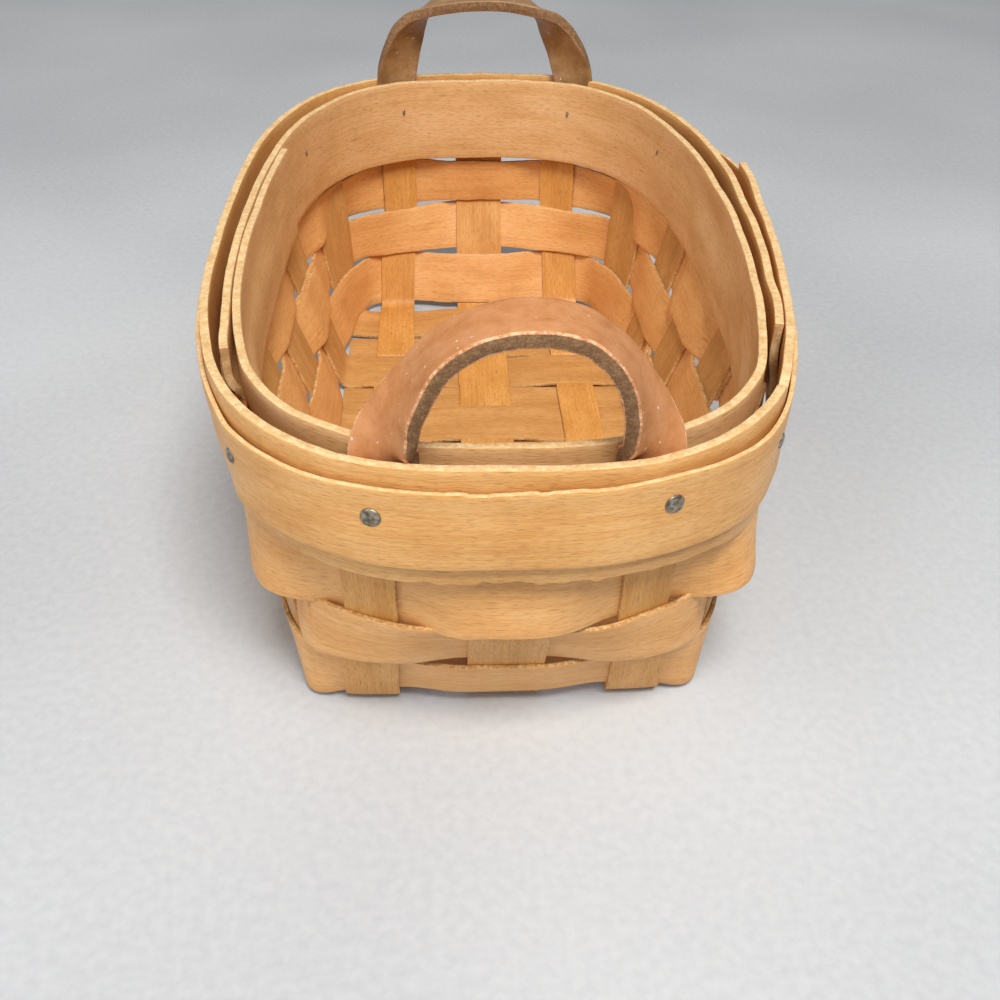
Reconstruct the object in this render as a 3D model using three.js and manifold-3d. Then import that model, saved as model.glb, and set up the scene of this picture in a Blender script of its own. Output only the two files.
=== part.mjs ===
// Small oval splint basket: a woven base and four woven rows of thin maple strips, held at the
// top between an inner and an outer band, with a trim band outside and two leather ears.
// Millimetres, +Z up. The origin is under the middle of the base, on the surface it stands on.
// The front, seen in the usual view, is the end at -Y. The long way of the basket runs along Y.

import * as THREE from 'three';
import { mergeVertices } from 'three/addons/utils/BufferGeometryUtils.js';
import Module from 'manifold-3d';

const wasm = await Module();
wasm.setup();

// Driving dimensions: strips and how they lie on each other
const SPLINT_THICKNESS = 1.1;
const WEAVE_CLEARANCE = 0.25;
const BASE_CLEARANCE = 0.3;
const WIDE_SPLINT_WIDTH = 15.6;
const NARROW_SPLINT_WIDTH = 11.8;
const FILLER_WIDTH = 8;
const FILLER_OVERHANG = 1.6;

// Driving dimensions: places of the splints in the base
const LENGTHWISE_SPACING = 26;
const CROSS_PITCH = 27.4;
const CROSS_COUNT = 6;
const END_SPLINT_FAN = -0.06;
const SIDE_SPLINT_FAN = 0.06;
const BASE_BEND_RADIUS = 2.2;

// Driving dimensions: rows
const FIRST_ROW_Z = 3.5;
const ROW_GAP = 1.4;
const ROW_BELOW_BAND = 2;
const TOP_ROW_WIDTH = 9;
const OPEN_ROWS = 3;
const LOOSE_ROW = 2;
const WEAVER_LAP_LANES = 2;
const UPRIGHT_REST = 0.3;

// Driving dimensions: half width, half length and corner squareness of the wall at the base and
// at the rim. Between the two the wall is straight, but its ends bow out: by a depth in their
// middle that fades out at a reach to either side, at the first and the second gap between rows.
const BASE_OUTLINE = { halfWidth: 40, halfLength: 83.2, squareness: 12 };
const RIM_OUTLINE = { halfWidth: 55.6, halfLength: 96, squareness: 2.9 };
const FIRST_GAP_BOW = { depth: 3.2, reach: 90 };
const SECOND_GAP_BOW = { depth: 5.4, reach: 34 };

// Driving dimension: how far the third row stands off the wall at the corners, where no splint
// holds it, at its lower and its upper edge
const CORNER_SLACK = { lower: 4.2, upper: 3 };

// Driving dimensions: rim bands
const RIM_HEIGHT = 68.6;
const INNER_BAND_WIDTH = 22.8;
const INNER_BAND_THICKNESS = 1.7;
const OUTER_BAND_WIDTH = 22.6;
const OUTER_BAND_THICKNESS = 1.8;
const TRIM_WIDTH = 14.6;
const TRIM_THICKNESS = 1.5;
const TRIM_BELOW_RIM = 3;
const BAND_CLEARANCE = 0.3;
const LAP_RAMP = 14;

// Where each band starts and stops, as shares of a quarter of the rim, counted from the middle
// of its long side towards the back; turn is 1 for a band that sets off anticlockwise from above
const OUTER_LAP = { start: -0.451, stop: 0.21, turn: 1 };
const INNER_LAP = { start: -0.482, stop: 0.296, turn: -1 };
const TRIM_LAP = { start: 0.653, stop: 0.358, turn: 1 };

// Driving dimensions: leather ears
const STRAP_WIDTH = 11.5;
const STRAP_THICKNESS = 2.8;
const STRAP_CORNER = 0.7;
const FOOT_REST = 0.4;
const FRONT_EAR = { span: 42.6, shift: 1.1, rise: 24.6 };
const BACK_EAR = { span: 52.3, shift: 2.7, rise: 21.4 };

// Driving dimensions: tacks
const TACK_HEAD_RADIUS = 2.1;
const TACK_HEAD_HEIGHT = 0.8;
const TACK_SHANK_RADIUS = 0.7;
const TACK_POINT = 1.2;
const TACK_HOLE_CLEARANCE = 0.3;
const TACK_SEAT = 0.3;
const TACK_BELOW_RIM = 8.1;
const FRONT_CORNER_TACK = -0.614;
const BACK_CORNER_TACK = 0.451;

// Worked-out heights and offsets
const halfSplint = SPLINT_THICKNESS / 2;
const weaveOffset = SPLINT_THICKNESS + WEAVE_CLEARANCE;
const baseOffset = (SPLINT_THICKNESS + BASE_CLEARANCE) / 2;
const baseMidZ = baseOffset + halfSplint;
const rowsTopZ = RIM_HEIGHT - INNER_BAND_WIDTH - ROW_BELOW_BAND;
const rowPitch = (rowsTopZ + ROW_GAP - FIRST_ROW_Z) / OPEN_ROWS;
const rowWidth = rowPitch - ROW_GAP;
const topRowZ = FIRST_ROW_Z + OPEN_ROWS * rowPitch;
const uprightTopZ = topRowZ + TOP_ROW_WIDTH + UPRIGHT_REST;
const bandFace = weaveOffset + halfSplint + BAND_CLEARANCE;
const innerBandMid = -(bandFace + INNER_BAND_THICKNESS / 2);
const outerBandMid = bandFace + OUTER_BAND_THICKNESS / 2;
const trimMid = bandFace + OUTER_BAND_THICKNESS + BAND_CLEARANCE + TRIM_THICKNESS / 2;
const innerLapLift = INNER_BAND_THICKNESS + BAND_CLEARANCE;
const outerLapLift = OUTER_BAND_THICKNESS + BAND_CLEARANCE;
const trimLapLift = TRIM_THICKNESS + BAND_CLEARANCE;

// Finishes
const finishes = {
  splint: new THREE.MeshStandardMaterial({ color: 0xd9a25c, roughness: 0.55, metalness: 0 }),
  band: new THREE.MeshStandardMaterial({ color: 0xe0ac68, roughness: 0.5, metalness: 0 }),
  leather: new THREE.MeshStandardMaterial({ color: 0xb06a3e, roughness: 0.6, metalness: 0 }),
  tack: new THREE.MeshStandardMaterial({ color: 0x85827c, roughness: 0.45, metalness: 0.9 }),
};

const basket = new THREE.Group();

function addPiece(name, geometry, finish) {
  const mesh = new THREE.Mesh(geometry, finishes[finish]);
  mesh.name = name;
  basket.add(mesh);
  return mesh;
}

const lerp = THREE.MathUtils.lerp;
const smooth = (t) => THREE.MathUtils.smoothstep(t, 0, 1);

// The wall: two outlines with straight lines between them, and the bow of its ends
const wallTopZ = FIRST_ROW_Z + OPEN_ROWS * rowPitch - ROW_GAP / 2;
const bowLevels = [
  { z: baseMidZ, depth: 0, reach: 1 },
  { z: FIRST_ROW_Z + rowPitch - ROW_GAP / 2, ...FIRST_GAP_BOW },
  { z: FIRST_ROW_Z + 2 * rowPitch - ROW_GAP / 2, ...SECOND_GAP_BOW },
  { z: wallTopZ, depth: 0, reach: 1 },
];

// How far the bend between base and wall draws the wall in, at a height
function bendInset(z) {
  const toGo = Math.max(0, BASE_BEND_RADIUS - (z - baseMidZ));
  return BASE_BEND_RADIUS - Math.sqrt(BASE_BEND_RADIUS ** 2 - Math.min(toGo, BASE_BEND_RADIUS) ** 2);
}

function outlinePoint({ halfWidth, halfLength, squareness }, angle) {
  const c = Math.cos(angle);
  const s = Math.sin(angle);
  const x = halfWidth * Math.sign(c) * Math.abs(c) ** (2 / squareness);
  const y = halfLength * Math.sign(s) * Math.abs(s) ** (2 / squareness);
  return new THREE.Vector2(x, y);
}

function bowOf({ depth, reach }, x) {
  return depth * Math.cos((Math.PI / 2) * Math.min(1, Math.abs(x) / reach)) ** 2;
}

function bowAt(z, x) {
  const upper = bowLevels.findIndex((level) => level.z >= z);
  if (upper < 1) return 0;
  const [low, high] = [bowLevels[upper - 1], bowLevels[upper]];
  return lerp(bowOf(low, x), bowOf(high, x), (z - low.z) / (high.z - low.z));
}

// One outline as a fine closed polyline with its length along, starting at the front middle
// and going towards +X, the back and -X
const OUTLINE_STEPS = 1440;
const outlineCache = new Map();

function outlineAt(z) {
  const key = z.toFixed(4);
  if (outlineCache.has(key)) return outlineCache.get(key);
  const inset = bendInset(z);
  const bent = {
    ...BASE_OUTLINE,
    halfWidth: BASE_OUTLINE.halfWidth - inset,
    halfLength: BASE_OUTLINE.halfLength - inset,
  };
  const climb = THREE.MathUtils.clamp((z - baseMidZ) / (wallTopZ - baseMidZ), 0, 1);
  const points = [];
  const along = [0];
  for (let i = 0; i <= OUTLINE_STEPS; i++) {
    const angle = (i / OUTLINE_STEPS) * 2 * Math.PI - Math.PI / 2;
    const point = outlinePoint(bent, angle).lerp(outlinePoint(RIM_OUTLINE, angle), climb);
    point.y += bowAt(z, point.x) * Math.sin(angle);
    points.push(point);
    if (i > 0) along.push(along[i - 1] + points[i].distanceTo(points[i - 1]));
  }
  const outline = { points, along, length: along[OUTLINE_STEPS] };
  outlineCache.set(key, outline);
  return outline;
}

// A place on the outline: its point and its outward direction in plan
function onOutline(z, distance) {
  const { points, along, length } = outlineAt(z);
  const wanted = ((distance % length) + length) % length;
  let low = 0;
  let high = OUTLINE_STEPS;
  while (high - low > 1) {
    const middle = (low + high) >> 1;
    if (along[middle] <= wanted) low = middle;
    else high = middle;
  }
  const t = (wanted - along[low]) / Math.max(1e-9, along[high] - along[low]);
  const point = points[low].clone().lerp(points[high], t);
  const spread = 6;
  const before = points[(low - spread + OUTLINE_STEPS) % OUTLINE_STEPS];
  const after = points[(high + spread) % OUTLINE_STEPS];
  const tangent = after.clone().sub(before).normalize();
  return { point, outward: new THREE.Vector2(tangent.y, -tangent.x) };
}

// A point of the wall, set off outwards (or inwards, where offset is negative)
function wallPoint(z, distance, offset) {
  const { point, outward } = onOutline(z, distance);
  return new THREE.Vector3(point.x + outward.x * offset, point.y + outward.y * offset, z);
}

// Lanes: the places where splints stand up in the wall, in order round the basket.
// A lane's side is 0 front, 1 right, 2 back, 3 left; reach is its distance from the side's middle.
function crossPlace(index) {
  return (index - (CROSS_COUNT - 1) / 2) * CROSS_PITCH;
}

const lanes = [];
lanes.push({ side: 0, reach: 0, width: WIDE_SPLINT_WIDTH, end: true });
lanes.push({ side: 0, reach: LENGTHWISE_SPACING, width: NARROW_SPLINT_WIDTH, end: true });
for (let i = 0; i < CROSS_COUNT; i++) {
  lanes.push({ side: 1, reach: crossPlace(i), width: WIDE_SPLINT_WIDTH });
}
lanes.push({ side: 2, reach: -LENGTHWISE_SPACING, width: NARROW_SPLINT_WIDTH, end: true });
lanes.push({ side: 2, reach: 0, width: WIDE_SPLINT_WIDTH, end: true });
lanes.push({ side: 2, reach: LENGTHWISE_SPACING, width: NARROW_SPLINT_WIDTH, end: true });
for (let i = 0; i < CROSS_COUNT; i++) {
  lanes.push({ side: 3, reach: crossPlace(i), width: WIDE_SPLINT_WIDTH });
}
lanes.push({ side: 0, reach: -LENGTHWISE_SPACING, width: NARROW_SPLINT_WIDTH, end: true, wraps: true });

function laneDistance(lane, z) {
  const { length } = outlineAt(z);
  const fan = lane.end ? END_SPLINT_FAN : SIDE_SPLINT_FAN;
  const climb = THREE.MathUtils.clamp((z - baseMidZ) / (uprightTopZ - baseMidZ), 0, 1);
  const turn = lane.wraps ? length : 0;
  return (lane.side * length) / 4 + lane.reach * (1 + fan * climb) + turn;
}

// Ribbons: a strip as a row of cross-sections. Each section lists its outer points and then its
// inner points, both from the same edge; the faces are turned to point out at the end.
function ribbonGeometry(sections) {
  const columns = sections[0].outer.length;
  const loop = 2 * columns;
  const positions = [];
  const triangles = [];
  for (const { outer, inner } of sections) {
    for (const point of outer) positions.push(point.x, point.y, point.z);
    for (const point of [...inner].reverse()) positions.push(point.x, point.y, point.z);
  }
  const quad = (a, b, c, d) => triangles.push(a, b, c, a, c, d);
  for (let s = 0; s + 1 < sections.length; s++) {
    for (let p = 0; p < loop; p++) {
      const next = (p + 1) % loop;
      const [a, b, c, d] = [s * loop + p, s * loop + next, (s + 1) * loop + next, (s + 1) * loop + p];
      if (p < columns) quad(a, b, c, d);
      else quad(b, c, d, a);
    }
  }
  const tail = (sections.length - 1) * loop;
  for (let c = 0; c + 1 < columns; c++) {
    const far = loop - 1 - c;
    quad(far, far - 1, c + 1, c);
    quad(tail + c, tail + c + 1, tail + far - 1, tail + far);
  }
  const geometry = new THREE.BufferGeometry();
  geometry.setAttribute('position', new THREE.Float32BufferAttribute(positions, 3));
  geometry.setIndex(triangles);
  return turnOutwards(geometry);
}

function turnOutwards(geometry) {
  const position = geometry.getAttribute('position');
  const index = geometry.getIndex();
  const corner = [new THREE.Vector3(), new THREE.Vector3(), new THREE.Vector3()];
  let volume = 0;
  for (let i = 0; i < index.count; i += 3) {
    corner.forEach((vector, k) => vector.fromBufferAttribute(position, index.getX(i + k)));
    volume += corner[0].dot(corner[1].clone().cross(corner[2])) / 6;
  }
  if (volume < 0) {
    for (let i = 0; i < index.count; i += 3) {
      const second = index.getX(i + 1);
      index.setX(i + 1, index.getX(i + 2));
      index.setX(i + 2, second);
    }
  }
  geometry.computeVertexNormals();
  return geometry;
}

// Booleans, for the tack holes
function toSolid(geometry) {
  const bare = geometry.clone();
  bare.deleteAttribute('normal');
  bare.deleteAttribute('uv');
  const merged = mergeVertices(bare, 1e-5);
  const vertProperties = new Float32Array(merged.getAttribute('position').array);
  const triVerts = new Uint32Array(merged.getIndex().array);
  return new wasm.Manifold(new wasm.Mesh({ numProp: 3, vertProperties, triVerts }));
}

function fromSolid(solid) {
  const { vertProperties, triVerts } = solid.getMesh();
  const geometry = new THREE.BufferGeometry();
  geometry.setAttribute('position', new THREE.Float32BufferAttribute(vertProperties, 3));
  geometry.setIndex(Array.from(triVerts));
  geometry.computeVertexNormals();
  return geometry;
}

function cutAll(geometry, cutters) {
  return fromSolid(cutters.reduce((solid, cutter) => solid.subtract(cutter), toSolid(geometry)));
}

// Base and uprights: each splint crosses the base, bends up at both ends and stands in the wall
const columnPlaces = [-0.5, 0, 0.5];
const bendAngles = [0, Math.PI / 6, Math.PI / 3];
const wallLevels = [baseMidZ + BASE_BEND_RADIUS];
for (let row = 0; row < OPEN_ROWS; row++) {
  if (row > 0) wallLevels.push(FIRST_ROW_Z + row * rowPitch);
  wallLevels.push(FIRST_ROW_Z + row * rowPitch + rowWidth);
}
wallLevels.push(topRowZ, uprightTopZ);

// One end of a splint, from the edge of the flat base to its top; mirrored flips its columns
function uprightSections(lane, mirrored) {
  const places = mirrored ? [...columnPlaces].reverse() : columnPlaces;
  const section = (z, inwards, downwards) => {
    const at = laneDistance(lane, z);
    const point = (place, offset) => {
      const { point: middle, outward } = onOutline(z, at + place * lane.width);
      middle.addScaledVector(outward, offset * inwards);
      return new THREE.Vector3(middle.x, middle.y, z - offset * downwards);
    };
    return {
      outer: places.map((place) => point(place, halfSplint)),
      inner: places.map((place) => point(place, -halfSplint)),
    };
  };
  const bend = bendAngles.map((angle) =>
    section(baseMidZ + BASE_BEND_RADIUS * (1 - Math.cos(angle)), Math.sin(angle), Math.cos(angle)));
  return [...bend, ...wallLevels.map((z) => section(z, 1, 0))];
}

// The flat part of a splint: heights over or under what it crosses, level between crossings
function baseSections(crossings, position) {
  const sections = [];
  const height = (along, offset) => ({
    outer: columnPlaces.map((place) => position(along, place, baseMidZ + offset - halfSplint)),
    inner: columnPlaces.map((place) => position(along, place, baseMidZ + offset + halfSplint)),
  });
  crossings.forEach(({ at, width, over }, i) => {
    const level = over * baseOffset;
    if (i > 0) {
      const previous = crossings[i - 1];
      const from = previous.at + previous.width / 2;
      const to = at - width / 2;
      for (const t of [0.33, 0.67]) {
        sections.push(height(lerp(from, to, t), lerp(previous.over * baseOffset, level, smooth(t))));
      }
    }
    sections.push(height(at - width / 2, level));
    sections.push(height(at + width / 2, level));
  });
  return sections;
}

function wholeSplint(startLane, endLane, crossings, position) {
  const start = uprightSections(startLane, false).reverse();
  const flat = baseSections(crossings, position);
  return ribbonGeometry([...start, ...flat, ...uprightSections(endLane, true)]);
}

const fillerPlaces = [];
for (let i = 0; i + 1 < CROSS_COUNT; i++) fillerPlaces.push((crossPlace(i) + crossPlace(i + 1)) / 2);

const lengthwise = [
  { name: 'left_lengthwise_splint', x: -LENGTHWISE_SPACING, width: NARROW_SPLINT_WIDTH, overOdd: -1 },
  { name: 'centre_lengthwise_splint', x: 0, width: WIDE_SPLINT_WIDTH, overOdd: 1 },
  { name: 'right_lengthwise_splint', x: LENGTHWISE_SPACING, width: NARROW_SPLINT_WIDTH, overOdd: -1 },
];

for (const { name, x, width, overOdd } of lengthwise) {
  const crossings = [];
  for (let i = 0; i < CROSS_COUNT; i++) {
    const over = i % 2 === 0 ? overOdd : -overOdd;
    crossings.push({ at: crossPlace(i), width: WIDE_SPLINT_WIDTH + BASE_CLEARANCE, over });
    if (i < fillerPlaces.length) {
      crossings.push({ at: fillerPlaces[i], width: FILLER_WIDTH + BASE_CLEARANCE, over: 1 });
    }
  }
  const frontLane = lanes.find((lane) => lane.side === 0 && lane.reach === x);
  const backLane = lanes.find((lane) => lane.side === 2 && lane.reach === -x);
  const position = (along, place, z) => new THREE.Vector3(x + place * width, along, z);
  addPiece(name, wholeSplint(frontLane, backLane, crossings, position), 'splint');
}

for (let i = 0; i < CROSS_COUNT; i++) {
  const y = crossPlace(i);
  const overEdge = i % 2 === 0 ? 1 : -1;
  const crossings = lengthwise.map((splint) => ({
    at: splint.x,
    width: splint.width + BASE_CLEARANCE,
    over: splint.x === 0 ? -overEdge : overEdge,
  }));
  const leftLane = lanes.find((lane) => lane.side === 3 && lane.reach === -y);
  const rightLane = lanes.find((lane) => lane.side === 1 && lane.reach === y);
  const position = (along, place, z) => new THREE.Vector3(along, y - place * WIDE_SPLINT_WIDTH, z);
  addPiece(`cross_splint_${i + 1}`, wholeSplint(leftLane, rightLane, crossings, position), 'splint');
}

const fillerHalfLength = LENGTHWISE_SPACING + NARROW_SPLINT_WIDTH / 2 + FILLER_OVERHANG;
fillerPlaces.forEach((y, i) => {
  const box = new THREE.BoxGeometry(2 * fillerHalfLength, FILLER_WIDTH, SPLINT_THICKNESS);
  const filler = addPiece(`base_filler_${i + 1}`, box, 'splint');
  filler.position.set(0, y, baseMidZ - baseOffset);
});

// Weavers: each row goes outside one lane and inside the next, once round, and laps over itself.
// Where it laps, the last layer lies outside the first. The top row has no room to lap between
// the bands, so its ends meet between two uprights.
const GAP_STEPS = [0.25, 0.5, 0.75];
const CORNER_STEPS = [0.12, 0.26, 0.42, 0.58, 0.74, 0.88];

function laneAt(index) {
  return lanes[((index % lanes.length) + lanes.length) % lanes.length];
}

// Distance along the outline of a lane counted on past the first turn
function countedDistance(index, z) {
  const turns = Math.floor(index / lanes.length);
  return laneDistance(laneAt(index), z) + turns * outlineAt(z).length;
}

function weaverOffset(index, outsideEven, firstLap, lastLap) {
  const outside = (index % 2 === 0) === outsideEven;
  const doubled = SPLINT_THICKNESS + WEAVE_CLEARANCE;
  if (outside) return weaveOffset + (lastLap ? doubled : 0);
  return -weaveOffset - (firstLap ? doubled : 0);
}

function weaverGeometry({ firstLane, lapLanes, outsideEven, slack, lowZ, highZ }) {
  const stations = [];
  const lastLane = firstLane + lanes.length + lapLanes - 1;
  const offsetAt = (index) => {
    const firstLap = index < firstLane + lapLanes;
    const lastLap = index >= firstLane + lanes.length;
    return weaverOffset(index, outsideEven, firstLap, lastLap);
  };
  for (let index = firstLane; index <= lastLane; index++) {
    const half = laneAt(index).width / 2;
    for (const shift of [-half, 0, half]) {
      const distance = (z) => countedDistance(index, z) + shift;
      stations.push({ distance, offset: offsetAt(index), standOff: 0 });
    }
    if (index === lastLane) break;
    const nextHalf = laneAt(index + 1).width / 2;
    const corner = laneAt(index).side !== laneAt(index + 1).side;
    for (const t of corner ? CORNER_STEPS : GAP_STEPS) {
      stations.push({
        distance: (z) => lerp(countedDistance(index, z) + half, countedDistance(index + 1, z) - nextHalf, t),
        offset: lerp(offsetAt(index), offsetAt(index + 1), smooth(t)),
        standOff: corner ? Math.sin(Math.PI * t) ** 2 : 0,
      });
    }
  }
  const edges = [
    { z: highZ, loose: slack.upper },
    { z: lowZ, loose: slack.lower },
  ];
  const sections = stations.map(({ distance, offset, standOff }) => {
    const face = (side) => edges.map(({ z, loose }) =>
      wallPoint(z, distance(z), offset + standOff * loose + side * halfSplint));
    return { outer: face(1), inner: face(-1) };
  });
  return ribbonGeometry(sections);
}

const weaverNames = ['bottom_weaver', 'lower_middle_weaver', 'upper_middle_weaver', 'top_weaver'];
const weaverStarts = [5, 12, 4, 13];
weaverNames.forEach((name, row) => {
  const open = row < OPEN_ROWS;
  const lowZ = FIRST_ROW_Z + row * rowPitch;
  const geometry = weaverGeometry({
    firstLane: weaverStarts[row],
    lapLanes: open ? WEAVER_LAP_LANES : 0,
    outsideEven: row % 2 === 0,
    slack: row === LOOSE_ROW ? CORNER_SLACK : { lower: 0, upper: 0 },
    lowZ,
    highZ: lowZ + (open ? rowWidth : TOP_ROW_WIDTH),
  });
  addPiece(name, geometry, 'splint');
});

// Rim bands: upright hoops that lap over themselves. A lap is where the two ends lie, measured
// along the rim from the front middle; lift is how far the last layer stands off the first.
const rimLength = outlineAt(RIM_HEIGHT).length;
const quarter = rimLength / 4;
const onRightSide = (share) => quarter * (1 + share);
const onLeftSide = (share) => quarter * (3 - share);
const lapAt = (place, { start, stop, turn }) => ({ from: place(start), to: place(stop), turn });
const outerLap = lapAt(onRightSide, OUTER_LAP);
const innerLap = lapAt(onLeftSide, INNER_LAP);
const trimLap = lapAt(onLeftSide, TRIM_LAP);
const BAND_STATIONS = 84;

// Rises from 0 to 1 over the ramp that ends a little before the given place
function rampUpTo(place, distance) {
  return smooth((distance - (place - LAP_RAMP)) / (LAP_RAMP * 0.6));
}

// How far the outer band's lap pushes the trim out, at a place on the rim
function outerLapBulge(distance) {
  const place = ((distance % rimLength) + rimLength) % rimLength;
  const rise = rampUpTo(outerLap.from, place);
  const fall = 1 - smooth((place - outerLap.to - 0.4 * LAP_RAMP) / (0.6 * LAP_RAMP));
  return outerLapLift * rise * fall;
}

function bandGeometry(lap, lift, offsetAt, lowZ) {
  const overlap = (lap.to - lap.from) * lap.turn;
  const total = rimLength + overlap;
  const step = rimLength / BAND_STATIONS;
  const places = [0];
  const gridStart = Math.ceil((lap.from * lap.turn) / step) * step - lap.from * lap.turn;
  for (let d = gridStart; d < total; d += step) {
    if (d > 0.5 && d < total - 0.5) places.push(d);
  }
  places.push(total);
  const sections = places.map((d) => {
    const distance = lap.from + lap.turn * d;
    const offset = offsetAt(distance) + lift * rampUpTo(rimLength, d);
    return { distance, offset };
  });
  return (thickness, highZ) => ribbonGeometry(sections.map(({ distance, offset }) => {
    const edge = (side) => [lowZ, highZ].map((z) => {
      const { point, outward } = onOutline(RIM_HEIGHT, distance);
      const reach = offset + side * (thickness / 2);
      return new THREE.Vector3(point.x + outward.x * reach, point.y + outward.y * reach, z);
    });
    return { outer: edge(1), inner: edge(-1) };
  }));
}

const trimTopZ = RIM_HEIGHT - TRIM_BELOW_RIM;
const innerBandGeometry = bandGeometry(
  innerLap, -innerLapLift, () => innerBandMid, RIM_HEIGHT - INNER_BAND_WIDTH,
)(INNER_BAND_THICKNESS, RIM_HEIGHT);
const outerBandGeometry = bandGeometry(
  outerLap, outerLapLift, () => outerBandMid, RIM_HEIGHT - OUTER_BAND_WIDTH,
)(OUTER_BAND_THICKNESS, RIM_HEIGHT);
const trimGeometry = bandGeometry(
  trimLap, trimLapLift, (distance) => trimMid + outerLapBulge(distance), trimTopZ - TRIM_WIDTH,
)(TRIM_THICKNESS, trimTopZ);

// Leather ears: the feet stand in the gap between the bands with the grain side out, and the
// strap twists a quarter turn on its way up, so that the grain side faces up over the arch
const FOOT_STATIONS = 3;
const ARCH_STATIONS = 28;
const TWIST_SHARE = 0.42;
const footLowZ = uprightTopZ + FOOT_REST;

function strapSection(centre, grainSide, acrossSide) {
  const halfWidth = STRAP_WIDTH / 2;
  const halfThick = STRAP_THICKNESS / 2;
  const at = (across, out) => {
    const point = centre.clone().addScaledVector(acrossSide, across);
    return point.addScaledVector(grainSide, out);
  };
  const flat = halfWidth - STRAP_CORNER;
  const deep = halfThick - STRAP_CORNER;
  return {
    outer: [at(-halfWidth, deep), at(-flat, halfThick), at(flat, halfThick), at(halfWidth, deep)],
    inner: [at(-halfWidth, -deep), at(-flat, -halfThick), at(flat, -halfThick), at(halfWidth, -deep)],
  };
}

function footPlaces(ear, side) {
  const middle = side * quarter;
  const shift = side === 0 ? ear.shift : -ear.shift;
  return [middle + shift - ear.span / 2, middle + shift + ear.span / 2];
}

function earGeometry(ear, side) {
  const feet = footPlaces(ear, side).map((distance) => {
    const { outward } = onOutline(RIM_HEIGHT, distance);
    return { base: wallPoint(RIM_HEIGHT, distance, 0), out: new THREE.Vector3(outward.x, outward.y, 0) };
  });
  const up = new THREE.Vector3(0, 0, 1);
  const sections = [];
  const footSection = (foot, climbing, share) => {
    const centre = foot.base.clone().setZ(lerp(footLowZ, RIM_HEIGHT, share));
    sections.push(strapSection(centre, foot.out, new THREE.Vector3().crossVectors(foot.out, climbing)));
  };
  for (let i = 0; i < FOOT_STATIONS; i++) footSection(feet[0], up, i / FOOT_STATIONS);
  const chord = feet[1].base.clone().sub(feet[0].base);
  const sideways = chord.clone().normalize();
  for (let i = 0; i <= ARCH_STATIONS; i++) {
    const t = i / ARCH_STATIONS;
    const angle = Math.PI * (1 - t);
    const centre = feet[0].base.clone().addScaledVector(chord, (1 + Math.cos(angle)) / 2);
    centre.z = RIM_HEIGHT + ear.rise * Math.sin(angle);
    const tangent = sideways.clone().multiplyScalar(Math.sin(angle) * chord.length() / 2);
    tangent.addScaledVector(up, -Math.cos(angle) * ear.rise).normalize();
    const out = feet[0].out.clone().lerp(feet[1].out, t).normalize();
    const acrossPlane = new THREE.Vector3().crossVectors(sideways, up).normalize();
    const archSide = new THREE.Vector3().crossVectors(acrossPlane, tangent).multiplyScalar(-1).normalize();
    if (archSide.z < 0) archSide.negate();
    const twist = (Math.PI / 2) * (1 - smooth(Math.min(t, 1 - t) / TWIST_SHARE));
    const grain = archSide.clone().multiplyScalar(Math.cos(twist)).addScaledVector(out, Math.sin(twist));
    grain.addScaledVector(tangent, -grain.dot(tangent)).normalize();
    sections.push(strapSection(centre, grain, new THREE.Vector3().crossVectors(grain, tangent)));
  }
  const down = up.clone().negate();
  for (let i = FOOT_STATIONS - 1; i >= 0; i--) footSection(feet[1], down, i / FOOT_STATIONS);
  return ribbonGeometry(sections);
}

// Tacks: driven in from outside through the trim, the outer band, what lies between, and the
// inner band. Each one is as long as the layers at its own place are thick.
const tackZ = RIM_HEIGHT - TACK_BELOW_RIM;
const [frontLeft, frontRight] = footPlaces(FRONT_EAR, 0);
const [backRight, backLeft] = footPlaces(BACK_EAR, 2);
const tackPlaces = {
  front_left_ear_tack: frontLeft,
  front_right_ear_tack: frontRight,
  back_right_ear_tack: backRight,
  back_left_ear_tack: backLeft,
  front_right_corner_tack: onRightSide(FRONT_CORNER_TACK),
  back_right_corner_tack: onRightSide(BACK_CORNER_TACK),
  back_left_corner_tack: onLeftSide(BACK_CORNER_TACK),
  front_left_corner_tack: onLeftSide(FRONT_CORNER_TACK),
};

function within(lap, distance) {
  const place = ((distance % rimLength) + rimLength) % rimLength;
  return place > Math.min(lap.from, lap.to) - LAP_RAMP && place < Math.max(lap.from, lap.to) + LAP_RAMP;
}

function tackGeometry(length) {
  const headTop = TACK_HEAD_HEIGHT;
  const profile = [
    [0, headTop],
    [TACK_HEAD_RADIUS * 0.7, headTop * 0.85],
    [TACK_HEAD_RADIUS, headTop * 0.4],
    [TACK_HEAD_RADIUS, 0],
    [TACK_SHANK_RADIUS, 0],
    [TACK_SHANK_RADIUS, -length + TACK_POINT],
    [0, -length],
  ].map(([radius, height]) => new THREE.Vector2(radius, height));
  return new THREE.LatheGeometry(profile.reverse(), 10);
}

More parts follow.
